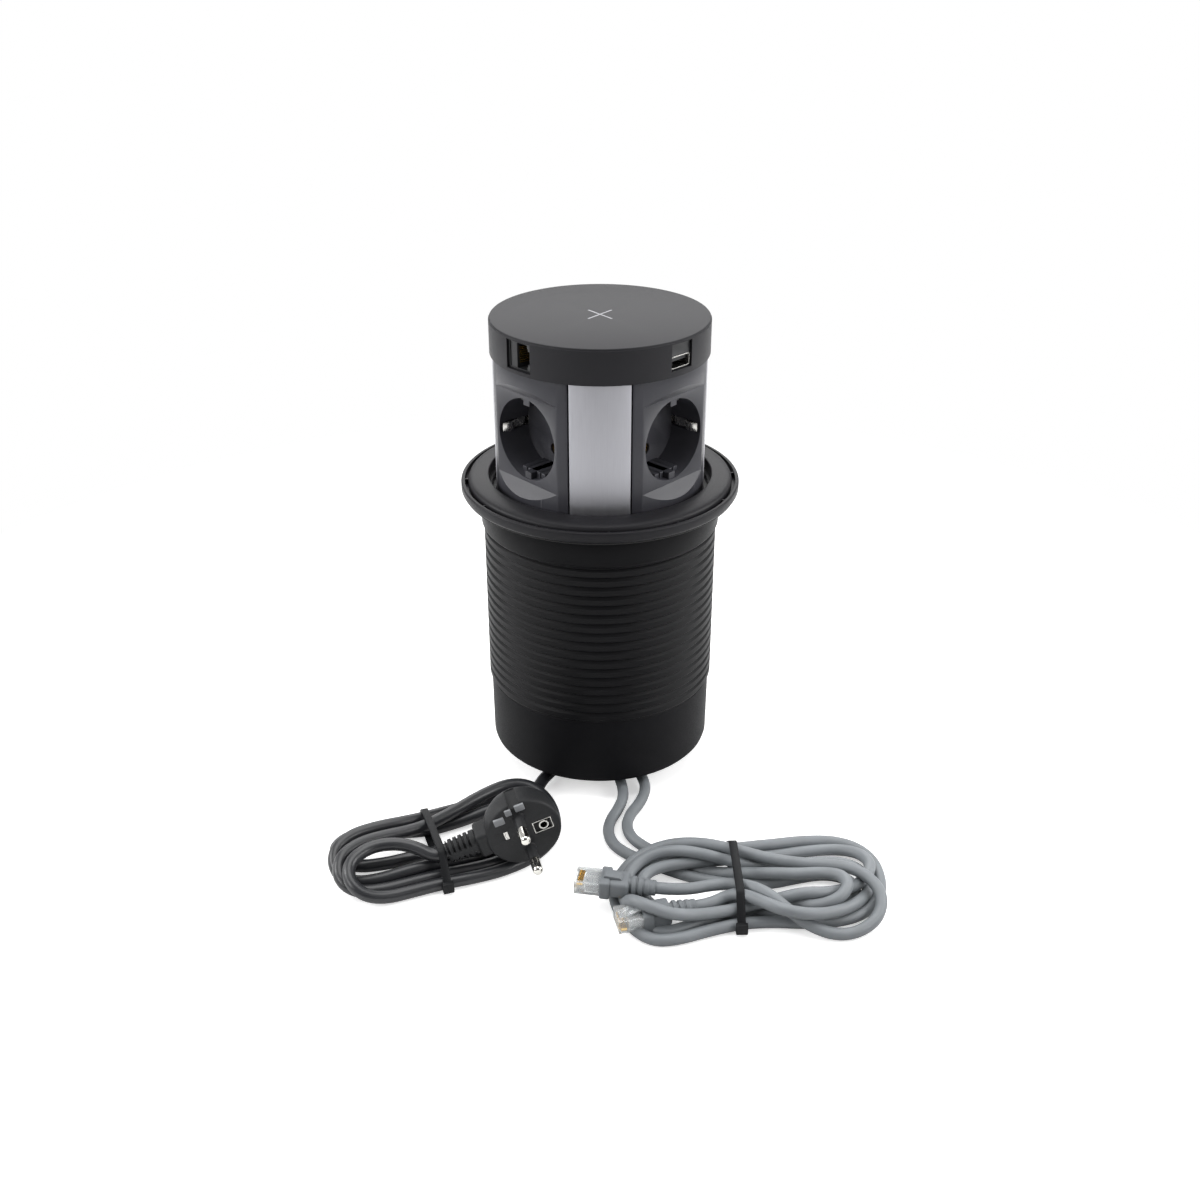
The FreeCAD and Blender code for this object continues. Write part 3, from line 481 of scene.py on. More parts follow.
class MODULE_OT_housing(BuildOperator, bpy.types.Operator):
    """Cup, ribbed sleeve, collar and seal"""
    bl_idname = "module.housing"
    bl_label = "Housing"

    def build(self, look, cords):
        pitch = look.rib_pitch / MM
        profile = [(BORE_R, SLEEVE_LOW), (SLEEVE_R, SLEEVE_LOW)]
        for i in range(look.rib_count):
            z = RIB_START + i * pitch
            # a narrow root, a steep flank with a lip, and a face that leans in upwards
            profile += [(SLEEVE_R, z), (RIB_R - 0.15, z + 0.7), (RIB_R, z + 0.95), (RIB_R - 0.05, z + 3.6),
                        (RIB_R - 0.3, z + 4.0)]
        top = RIB_START + look.rib_count * pitch
        profile += [(SLEEVE_R, top - 0.4), (SLEEVE_R, SLEEVE_TOP), (BORE_R, SLEEVE_TOP)]
        sleeve = smooth(turned("ribbed_sleeve", profile), 28)
        spigot = turned("spigot", [(53.1, 41.0), (54.6, 41.0), (54.6, 48.0), (53.1, 48.0)])
        sleeve = join([sleeve, spigot], "ribbed_sleeve")
        finish_piece(sleeve, "housing", "housing_black", "sleeve_abs", "outer_sleeve")

        cup = turned("cup", [
            (24.2, 10.0), (53.4, 10.0), (54.9, 10.25), (55.9, 10.8), (56.6, 11.6), (56.95, 12.8),
            (57.25, 44.6), (57.3, 46.6), (57.0, 47.0), (55.2, 47.0), (54.9, 46.7), (54.9, 13.2),
            (54.4, 13.0), (24.2, 13.0), (24.0, 12.8), (24.0, 10.2)])
        for i in range(4):
            angle = math.radians(45 + 90 * i)
            x, y = SCREW_CIRCLE * math.sin(angle), -SCREW_CIRCLE * math.cos(angle)
            # a sunk seat for the screw's head, and the hole for its shank
            for sides, radius, depth, z in ((40, 3.3, 4, 10.0), (32, 1.8, 14, 12.0)):
                begin()
                bpy.ops.mesh.primitive_cylinder_add(vertices=sides, radius=radius * MM, depth=depth * MM,
                                                    location=(x * MM, y * MM, z * MM))
                carve(cup, bpy.context.object)
        smooth(cup)
        finish_piece(cup, "housing", "housing_black", "cup_abs", "base_cup")

        low, high = COLLAR_LOW, COLLAR_TOP
        collar = turned("collar", [
            (57.5, low), (57.7, low), (58.1, low + 0.3), (59.2, low + 1.5), (59.4, low + 2.0),
            (59.4, high - 0.5), (59.1, high), (57.5, high)])
        lugs = []
        for azimuth, reach in ((-92.0, 3.2), (88.0, 1.2)):
            z = high - 9.0
            points = [(-8, -58.6, z - reach), (-8, -59.6, z - reach), (-8, -59.4 - reach, z + 2),
                      (-8, -59.4 - reach, high - 0.1), (-8, -58.6, high - 0.1)]
            lug = soften(prism("lug", points, (16, 0, 0)), 0.5, 3)
            lugs.append(settle(lug, azimuth))
        collar = smooth(join([collar] + lugs, "collar"))
        finish_piece(collar, "housing", "collar_black", "collar_abs", "clamp_collar")

        seal = turned("seal", [(57.6, 150.25), (67.4, 150.25), (67.6, 150.45), (67.6, 150.8), (67.4, 151.0),
                               (57.6, 151.0)])
        finish_piece(smooth(seal), "housing", "seal_rubber", "rubber", "seal_ring")


class MODULE_OT_flange(BuildOperator, bpy.types.Operator):
    """Mounting flange and the bezel ring that drops into it"""
    bl_idname = "module.flange"
    bl_label = "Flange and bezel"

    def build(self, look, cords):
        flange = turned("flange", [
            (53.4, 151.0), (67.2, 151.0), (67.9, 151.25), (68.45, 151.8), (68.8, 152.6), (68.8, 155.6),
            (68.65, 156.1), (68.3, 156.4), (67.9, 156.5), (67.2, 156.5), (66.95, 156.35), (66.9, 156.1),
            (66.9, 153.5), (53.6, 153.5), (53.4, 153.3)])
        finish_piece(smooth(flange, 40), "housing", "trim_black", "trim_lacquer_painted_shade", "mounting_flange")
        bezel = turned("bezel", [
            (55.0, 153.5), (55.0, 158.7), (55.1, 159.05), (55.35, 159.3), (55.7, 159.4), (58.5, 159.12),
            (61.0, 158.78), (62.6, 158.45), (63.7, 158.05), (64.4, 157.6), (64.9, 157.0), (65.2, 156.3),
            (65.2, 153.5)])
        smooth(bezel, 50)
        first = soften(block("bridge", (-0.55, -66.86, 153.5), (0.55, -64.6, 155.9)), 0.15)
        bridges = [copied(first, "bridge", 3.5 + i * 30) for i in range(12)]
        bpy.data.objects.remove(first)
        bezel = join([bezel] + bridges, "bezel")
        finish_piece(bezel, "housing", "trim_black", "trim_lacquer_painted_shade", "bezel_ring")


class MODULE_OT_head(BuildOperator, bpy.types.Operator):
    """Head with its port windows, fine edge lines and charging mark"""
    bl_idname = "module.head"
    bl_label = "Head"

    def build(self, look, cords):
        r, low, high = HEAD_R, HEAD_LOW, HEAD_TOP
        head = turned("head", [
            (50.4, low), (50.6, low), (r - 0.35, low), (r - 0.1, low + 0.12), (r, low + 0.4),
            (r, high - 1.15), (r - 0.12, high - 1.0), (r - 0.25, high - 0.95), (r - 0.3, high - 0.8),
            (r - 0.36, high - 0.4), (r - 0.6, high - 0.12), (r - 0.95, high), (0.0, high), (0.0, high - 2.4),
            (50.2, high - 2.4), (50.4, high - 2.6)])
        for turn, half, tall in ((-45, 7.7, 13.6), (135, 7.7, 13.6), (45, 6.65, 12.6), (225, 6.65, 12.6)):
            top = high - 1.6
            window = block("window", (-half, -58, top - tall), (half, -44, top))
            carve(head, settle(window, turn))
        length = math.hypot(5.6, 7.0)
        lean = math.degrees(math.atan2(5.6, 7.0))
        for turn in (lean, -lean):
            groove = block("groove", (-0.55, -length, high - 0.3), (0.55, length, high + 1))
            carve(head, settle(groove, turn))
        clean(head)
        smooth(head, 25)
        finish_piece(head, "tower", "trim_black", "satin_lacquer", "head_cap")

        bars = []
        for turn in (lean, -lean):
            stroke = block("stroke", (-0.5, -length + 0.05, high - 0.3), (0.5, length - 0.05, high))
            bars.append(settle(stroke, turn))
        cross = carve(bars[0], bars[1], "UNION")
        clean(cross)
        cross = join([cross], "charging_mark")
        finish_piece(soften(cross, 0.08, 2), "tower", "mark_grey", "mark", "charge_mark")


class MODULE_OT_strips(BuildOperator, bpy.types.Operator):
    """Four aluminium strips between the socket faces"""
    bl_idname = "module.strips"
    bl_label = "Aluminium strips"

    def build(self, look, cords):
        low, high = PANEL_LOW, PANEL_TOP - 0.05
        section = [(49.65, low), (51.35, low), (51.35, high), (49.65, high)]
        for i, (name, half) in enumerate((("front", 16.0), ("right", 12.0), ("back", 16.0), ("left", 12.0))):
            turn = 90 * i
            strip = turned("strip_" + name, section, half, 24)
            soften(strip, 0.22, 3, 60)
            smooth(settle(strip, turn), 25)
            finish_piece(strip, "tower", "strip_aluminium", "aluminium", "strip_" + name)


class MODULE_OT_sockets(BuildOperator, bpy.types.Operator):
    """Four socket faces with sloping ledges, keyed recesses, pin holes and earth springs"""
    bl_idname = "module.sockets"
    bl_label = "Sockets"

    def build(self, look, cords):
        z = SOCKET_Z
        mouth, floor = -FLAT, -FLAT + RECESS_DEPTH
        panel = turned("socket_face", [(44.5, PANEL_LOW), (TOWER_R, PANEL_LOW), (TOWER_R, PANEL_TOP),
                                       (44.5, PANEL_TOP)], 30.2, 48)
        carve(panel, bar("cup", 21.15, -46.0, floor + 1.4, 0, z, 96), "UNION")
        low, high = z - FLAT_HALF, z + FLAT_HALF
        # the ledges slope out from the flat and on past the panel's face
        past = 10 / (TOWER_R - FLAT)
        points = [(-60, mouth, low), (-60, mouth, high), (-60, mouth - 10, high + LEDGE_RISE * past),
                  (-60, mouth - 10, low - LEDGE_DROP * past)]
        carve(panel, prism("pocket", points, (120, 0, 0)))
        carve(panel, bar("recess", RECESS_R, mouth - 3, floor, 0, z, 128))
        for side in (-1, 1):
            carve(panel, bar("pin_hole", PIN_HOLE_R, floor - 2, floor + 4, 0, z + side * PIN_OFF, 48))
            near, far = sorted((side * 19.15, side * 21.65))
            cut(panel, (near, mouth + 1.5, z - 2.5), (far, floor + 3, z + 2.5))
        clean(panel)
        soften(panel, 0.3, 2, 38)
        smooth(panel, 30)

        keys = []
        for side in (-1, 1):
            inner, outer = sorted((side * KEY_IN, side * KEY_OUT))
            key = block("key", (-8.2, mouth + 4, z + inner), (8.2, floor + 0.2, z + outer))
            keys.append(soften(key, 0.4, 2))
            rib = block("rib", (-2.2, mouth + 0.4, z + inner), (2.2, floor + 0.2, z + outer))
            keys.append(soften(rib, 0.35, 2))
            # a shallow guide line each side of the rib
            for way in (-1, 1):
                x0, x1 = sorted((way * 4.4, way * 5.2))
                line = block("guide", (x0, mouth + 3.4, z + inner), (x1, floor, z + outer))
                keys.append(soften(line, 0.12, 1))
        # thin edges that reach under the strips
        lap = turned("lap", [(48.05, PANEL_LOW), (49.55, PANEL_LOW), (49.55, PANEL_TOP),
                             (48.05, PANEL_TOP)], 34.2, 40)
        cut(lap, (-24.8, -60, PANEL_LOW - 2), (24.8, -20, PANEL_TOP + 2))
        panel = join([panel, lap] + keys, "socket_face")

        spring = self.earth_spring(z, mouth)
        for i, turn in enumerate(SOCKET_TURNS, 1):
            face = copied(panel, "socket_face_%d" % i, turn)
            finish_piece(face, "tower", "socket_black", "socket_pa", "socket_panel_%d" % i)
            clip = copied(spring, "earth_spring_%d" % i, turn)
            finish_piece(clip, "tower", "contact_steel", "spring_steel", "earth_contact_%d" % i)
        remove(panel, spring)

    def earth_spring(self, z, mouth):
        """A strip bent to a finger at each side of the recess."""
        back = mouth + 19.2
        parts = []
        for side in (-1, 1):
            line = [(20.0, back), (20.8, back), (20.8, mouth + 2.4), (20.3, mouth + 1.9),
                    (19.6, mouth + 2.2), (18.9, mouth + 3.4), (18.35, mouth + 4.8), (18.2, mouth + 5.8),
                    (18.5, mouth + 6.9), (19.2, mouth + 8.2), (19.9, mouth + 9.6)]
            points = [(side * x, y, z - 2.2) for x, y in line]
            parts.append(prism("finger", points, (0, 0, 4.4)))
        parts.append(block("bridge", (-20.8, back, z - 2.2), (20.8, back + 0.8, z + 2.2)))
        spring = join(parts, "earth_spring")
        clean(spring)
        soften(spring, 0.12, 2)
        return smooth(spring, 40)


def port_face(half):
    """Where a port's flat face lies, so that its corners stay 1.2 mm inside the skirt."""
    return -math.sqrt(HEAD_R ** 2 - half ** 2) + 1.2


class MODULE_OT_ports(BuildOperator, bpy.types.Operator):
    """Network jacks and USB sockets in the head"""
    bl_idname = "module.ports"
    bl_label = "Ports"

    def build(self, look, cords):
        jack = self.jack()
        port, shell = self.usb()
        for i, turn in enumerate((-45, 135), 1):
            made = copied(jack, "network_socket_%d" % i, turn)
            finish_piece(made, "tower", "port_black", "port_abs", "network_jack_%d" % i)
        for i, turn in enumerate((45, 225), 1):
            made = copied(port, "usb_block_%d" % i, turn)
            finish_piece(made, "tower", "port_black", "port_abs", "usb_port_%d" % i)
            made = copied(shell, "usb_liner_%d" % i, turn)
            finish_piece(made, "tower", "contact_steel", "spring_steel", "usb_shell_%d" % i)
        remove(jack, port, shell)

    def jack(self):
        """Plate and body with the plug opening, its stepped latch notch and a grip groove."""
        half = 7.55
        high, low = PORT_TOP, 222.95
        front = port_face(half)
        body = block("jack", (-half, front, low), (half, front + 2.4, high))
        carve(body, block("body", (-half, front + 2, 222.9), (half, front + 18, 235.25)), "UNION")
        middle = (low + high) / 2
        left = -1.9
        # the plug's opening, its latch notch and the step in it: from, to, depth, half height
        for near, far, depth, tall in ((0.0, 6.6, 13, 5.9), (6.5, 8.2, 13, 3.1), (6.5, 7.2, 4, 4.3)):
            cut(body, (left + near, front - 1, middle - tall), (left + far, front + depth, middle + tall))
        cut(body, (-half + 0.9, front - 1, low + 0.8), (-half + 1.7, front + 0.6, high - 0.8))
        clean(body)
        soften(body, 0.18, 2)
        return smooth(body)

    def usb(self):
        """Block with its opening and tongue, and the thin metal liner."""
        half = 6.5
        high, low = PORT_TOP, 223.95
        front = port_face(half)
        body = block("usb", (-half, front, low), (half, front + 2.4, high))
        carve(body, block("body", (-half, front + 2, 222.9), (half, front + 16, 235.4)), "UNION")
        base = 224.4
        cut(body, (-6.3, front - 1, base), (6.3, front + 12, base + 5.8))
        clean(body)
        soften(body, 0.18, 2)
        tongue = block("tongue", (-5.1, front + 1.2, base + 3.0), (5.1, front + 12, base + 4.6))
        soften(tongue, 0.25, 2)
        body = smooth(join([body, tongue], "usb"))
        shell = block("liner", (-6.28, front - 0.2, base + 0.02), (6.28, front + 11.9, base + 5.78))
        cut(shell, (-5.88, front - 1, base + 0.42), (5.88, front + 12.5, base + 5.38))
        clean(shell)
        soften(shell, 0.1, 2)
        return body, smooth(shell)


# Cord routes: control points in millimetres, from the gland to the far end
MAINS_ROUTE = [
    (-22.87, -35.22, 5.0), (-27.4, -41.8, 4.9), (-31.0, -48.9, 4.4), (-32.9, -56.6, 3.6),
    (-34.5, -64.6, 3.2), (-37.0, -74.0, 3.1), (-42.0, -83.6, 3.1), (-49.9, -91.7, 3.2), (-61.0, -97.5, 3.3),
    (-79.6, -104.2, 3.3), (-91.3, -108.6, 3.3), (-102.8, -113.0, 3.2), (-115.3, -115.1, 3.1),
    (-125.4, -110.6, 3.1), (-129.1, -100.8, 3.1), (-123.6, -91.6, 3.1), (-110.5, -88.1, 3.1),
    (-96.6, -88.2, 3.1), (-84.2, -86.7, 3.1), (-68.5, -79.8, 3.8), (-56.6, -73.9, 5.4), (-46.7, -72.1, 8.0),
    (-38.7, -76.0, 9.6), (-34.5, -84.2, 7.7), (-36.6, -93.7, 4.8), (-45.0, -101.9, 3.6),
    (-57.9, -108.6, 4.4), (-76.0, -115.6, 6.2), (-89.6, -121.2, 6.1), (-103.5, -126.2, 4.3),
    (-115.7, -127.0, 3.1), (-125.0, -121.1, 4.5), (-127.2, -110.7, 9.2), (-120.2, -100.7, 11.0),
    (-108.4, -94.1, 10.8), (-97.8, -89.7, 10.1), (-88.3, -84.3, 8.6), (-75.3, -74.1, 5.5),
    (-63.7, -65.9, 3.6), (-51.2, -62.1, 4.5), (-40.0, -64.6, 8.1), (-31.5, -71.4, 9.8), (-27.7, -81.7, 7.4),
    (-29.9, -94.1, 4.4), (-38.2, -104.7, 3.2), (-51.7, -113.1, 3.1), (-63.5, -117.5, 3.2),
    (-74.9, -121.0, 3.3), (-89.1, -126.9, 3.1), (-101.9, -132.3, 3.1), (-114.1, -134.1, 3.7),
    (-122.0, -129.6, 8.0), (-122.5, -118.7, 11.9), (-114.7, -108.6, 12.3), (-104.2, -102.2, 11.4),
    (-93.6, -97.3, 10.4), (-84.6, -91.8, 9.9), (-72.7, -81.1, 10.0), (-60.4, -69.2, 11.1),
    (-46.7, -60.2, 12.4), (-34.7, -60.4, 11.3), (-26.0, -68.5, 8.2), (-21.7, -80.9, 5.0),
    (-23.2, -93.9, 3.4), (-31.5, -107.2, 3.1), (-44.3, -116.7, 3.1), (-58.1, -122.6, 3.2),
    (-72.6, -127.0, 3.3), (-86.9, -132.7, 3.1), (-98.8, -138.1, 3.5), (-108.8, -139.9, 6.3),
    (-116.2, -135.0, 11.1), (-116.9, -125.0, 14.1), (-108.9, -116.1, 15.7), (-97.2, -113.5, 16.0),
    (-87.0, -115.5, 15.2), (-77.7, -119.3, 12.2), (-70.7, -117.6, 14.3), (-63.3, -115.7, 16.5),
]
NETWORK_ROUTE_1 = [
    (9.09, -41.0, 5.0), (11.6, -50.6, 4.7), (12.0, -60.4, 3.8), (9.0, -69.8, 3.1), (4.9, -78.8, 2.8),
    (3.8, -88.6, 2.8), (6.6, -98.1, 2.8), (13.1, -105.1, 2.8), (21.6, -110.7, 2.8), (33.0, -117.2, 2.8),
    (45.4, -123.3, 2.8), (61.7, -128.0, 2.8), (79.3, -127.2, 2.8), (93.3, -122.7, 2.8),
    (106.4, -119.7, 2.8), (117.0, -123.4, 2.8), (119.7, -132.6, 2.8), (115.2, -142.3, 2.8),
    (103.5, -148.8, 2.8), (89.3, -149.7, 2.8), (75.9, -147.1, 2.8), (62.5, -146.6, 2.8),
    (47.4, -152.4, 2.8), (34.8, -159.5, 2.8), (25.0, -160.9, 2.8), (19.6, -151.5, 2.8), (15.2, -141.1, 2.8),
    (15.4, -129.1, 2.8), (21.5, -119.6, 5.8), (32.1, -115.1, 8.6), (45.6, -111.9, 8.4), (62.7, -107.6, 8.2),
    (80.7, -103.3, 7.0), (100.2, -97.3, 4.9), (115.2, -95.8, 3.4), (126.3, -101.3, 2.8),
    (131.7, -112.7, 2.8), (132.0, -127.0, 2.8), (128.1, -140.1, 2.8), (118.5, -149.6, 2.8),
    (105.4, -154.1, 3.0), (92.3, -155.1, 3.3), (78.4, -154.1, 3.3), (64.8, -154.9, 3.2),
    (48.8, -159.7, 3.0), (35.2, -165.2, 2.9), (24.0, -166.5, 2.8), (15.5, -159.4, 2.8), (8.4, -146.9, 2.8),
    (5.9, -132.3, 2.8), (10.4, -120.4, 4.6), (17.6, -113.1, 7.2), (26.9, -109.1, 9.8), (36.9, -108.6, 12.3),
    (48.9, -111.1, 14.2), (61.7, -115.1, 14.1), (78.8, -120.5, 12.4), (93.6, -122.8, 11.4),
    (106.7, -125.0, 12.3), (118.1, -129.4, 14.0), (126.9, -137.9, 12.1), (128.9, -146.3, 8.0),
    (124.7, -154.7, 4.4), (115.1, -161.3, 2.8), (104.3, -162.6, 3.0), (92.7, -159.5, 6.3),
    (82.0, -153.5, 12.3), (74.9, -147.4, 15.2), (63.4, -138.4, 12.7), (50.5, -137.3, 10.3),
    (40.9, -140.9, 11.0), (31.4, -143.7, 13.4), (25.4, -143.7, 14.0), (19.0, -142.6, 14.0),
]
NETWORK_ROUTE_2 = [
    (19.39, -37.25, 5.0), (23.1, -46.3, 4.8), (23.2, -56.0, 4.0), (19.8, -65.2, 3.2), (14.9, -73.7, 2.9),
    (13.0, -83.2, 2.8), (15.5, -92.6, 2.8), (21.7, -99.6, 2.8), (29.0, -105.9, 2.8), (38.4, -112.8, 2.8),
    (47.4, -118.0, 2.8), (58.9, -121.4, 4.4), (81.0, -128.2, 10.0), (92.2, -130.2, 11.2),
    (102.7, -130.9, 12.5), (111.4, -135.2, 14.7), (113.6, -142.9, 14.9), (108.2, -149.4, 12.3),
    (97.8, -150.2, 8.7), (88.9, -145.4, 6.6), (78.7, -141.3, 4.8), (63.1, -139.1, 3.3), (47.4, -142.0, 2.8),
    (35.8, -145.9, 2.8), (27.4, -146.5, 3.0), (21.0, -142.1, 5.1), (18.5, -133.7, 7.1), (21.2, -126.3, 8.2),
    (29.3, -121.8, 9.0), (43.5, -118.3, 8.6), (64.3, -112.5, 5.7), (82.7, -107.4, 3.4), (99.4, -102.8, 2.8),
    (113.5, -101.4, 3.0), (123.0, -105.7, 4.8), (127.8, -114.6, 7.0), (126.8, -124.7, 8.4),
    (119.3, -134.8, 8.0), (105.6, -143.3, 10.8), (91.9, -145.8, 13.1), (77.9, -146.8, 9.2),
    (62.3, -150.2, 7.1), (44.9, -156.5, 9.0), (31.9, -160.3, 12.7), (22.1, -159.2, 16.2),
    (14.2, -153.2, 15.4), (10.9, -144.6, 5.9), (11.2, -132.0, 6.5), (15.9, -122.4, 9.6),
    (24.9, -117.2, 12.8), (36.5, -116.5, 14.3), (48.5, -118.4, 13.6), (62.5, -119.5, 9.6),
    (79.1, -117.3, 5.5), (94.8, -113.4, 3.5), (109.2, -110.7, 2.9), (119.0, -112.5, 2.8),
    (124.7, -119.1, 2.8), (125.7, -131.4, 2.8), (119.5, -143.9, 6.7), (108.0, -154.8, 9.7),
    (95.1, -160.2, 12.4), (82.0, -159.5, 14.4), (74.9, -155.1, 14.6), (63.9, -145.4, 12.6),
    (57.0, -144.3, 9.4), (50.5, -148.0, 8.8), (43.3, -149.9, 8.5), (37.0, -151.3, 8.3),
]
NETWORK_LENGTHS = (0.9, 0.81)


def lead(name, route, diameter, material):
    """A cord as one smooth curve through its control points."""
    begin()
    bpy.ops.curve.primitive_nurbs_path_add(location=(0, 0, 0))
    piece = named(bpy.context.object, name)
    shape = piece.data
    shape.splines.clear()
    line = shape.splines.new("NURBS")
    line.points.add(len(route) - 1)
    for point, place in zip(line.points, route):
        point.co = (place[0] * MM, place[1] * MM, place[2] * MM, 1.0)
    line.order_u = 3
    line.use_endpoint_u = True
    line.resolution_u = 6
    line.use_smooth = True
    shape.dimensions = "3D"
    shape.bevel_depth = diameter / 2
    shape.bevel_resolution = 5
    shape.use_fill_caps = True
    shape.materials.append(material)
    return piece


def stand(origin, along, roof):
    """The turn and place of a piece built along +X with +Z up, in millimetres."""
    x = Vector(along).normalized()
    z = Vector(roof)
    z = (z - x * z.dot(x)).normalized()
    y = z.cross(x)
    turn = Matrix((x, y, z)).transposed().to_4x4()
    return Matrix.Translation(Vector(origin) * MM) @ turn


def spun_x(name, profile, steps=64):
    """Turns a closed (radius, length) profile about its own X line."""
    piece = turned(name, profile, None, steps)
    return settle(piece, 0, Matrix.Rotation(math.pi / 2, 4, "Y"))


def crossings(routes, place, reach):
    """Where the cords pass the plane of a strap: offset along its Y and height, in mm."""
    back = place.inverted()
    found = []
    for route in routes:
        rounds = []
        for p, q, r in zip(route, route[1:], route[2:]):
            for step in range(8):
                t = step / 8
                mix = (0.5 * (1 - t) ** 2, 0.5 + t * (1 - t), 0.5 * t * t)
                spot = [mix[0] * p[k] + mix[1] * q[k] + mix[2] * r[k] for k in range(3)]
                rounds.append(back @ Vector([v * MM for v in spot]) / MM)
        for one, two in zip(rounds, rounds[1:]):
            if one.x * two.x <= 0 and abs(one.y) < reach:
                found.append((one.y, one.z))
    return found


def wrapped(spots, radius, lowest):
    """The outline a tight band takes round the cords it holds."""
    points = sorted({(round(y + radius * math.cos(a * math.pi / 12), 3),
                      round(max(z + radius * math.sin(a * math.pi / 12), lowest), 3))
                     for y, z in spots for a in range(24)})

    def side(chain):
        kept = []
        for p in chain:
            while len(kept) > 1 and ((kept[-1][0] - kept[-2][0]) * (p[1] - kept[-2][1])
                                     - (kept[-1][1] - kept[-2][1]) * (p[0] - kept[-2][0])) <= 0:
                kept.pop()
            kept.append(p)
        return kept[:-1]

    return side(points) + side(points[::-1])


def strap(name, spots, radius, wide):
    """A closed nylon band with its lock box, drawn tight round the cords, the bundle along X."""
    outer = wrapped(spots, radius + 1.3, 0.0)
    inner = wrapped(spots, radius + 0.1, 0.9)
    band = prism(name, [(-wide / 2, y, z) for y, z in outer], (wide, 0, 0))
    carve(band, prism("inside", [(-wide, y, z) for y, z in inner], (2 * wide, 0, 0)))
    near = min(y for y, z in outer)
    lock = block("lock", (-wide / 2 - 0.8, near - 2.0, 1.6), (wide / 2 + 0.8, near + 0.9, 6.8))
    soften(lock, 0.5, 3)
    clean(band)
    soften(band, 0.2, 2, 50)
    return smooth(join([band, lock], name), 40)


# Where each plug lies: origin, way it points from, way its roof faces
PLUG_STAND = stand((-35.4, -116.5, 24.4), (0.24, -0.966, 0.0), (0.272, 0.07, -0.96))


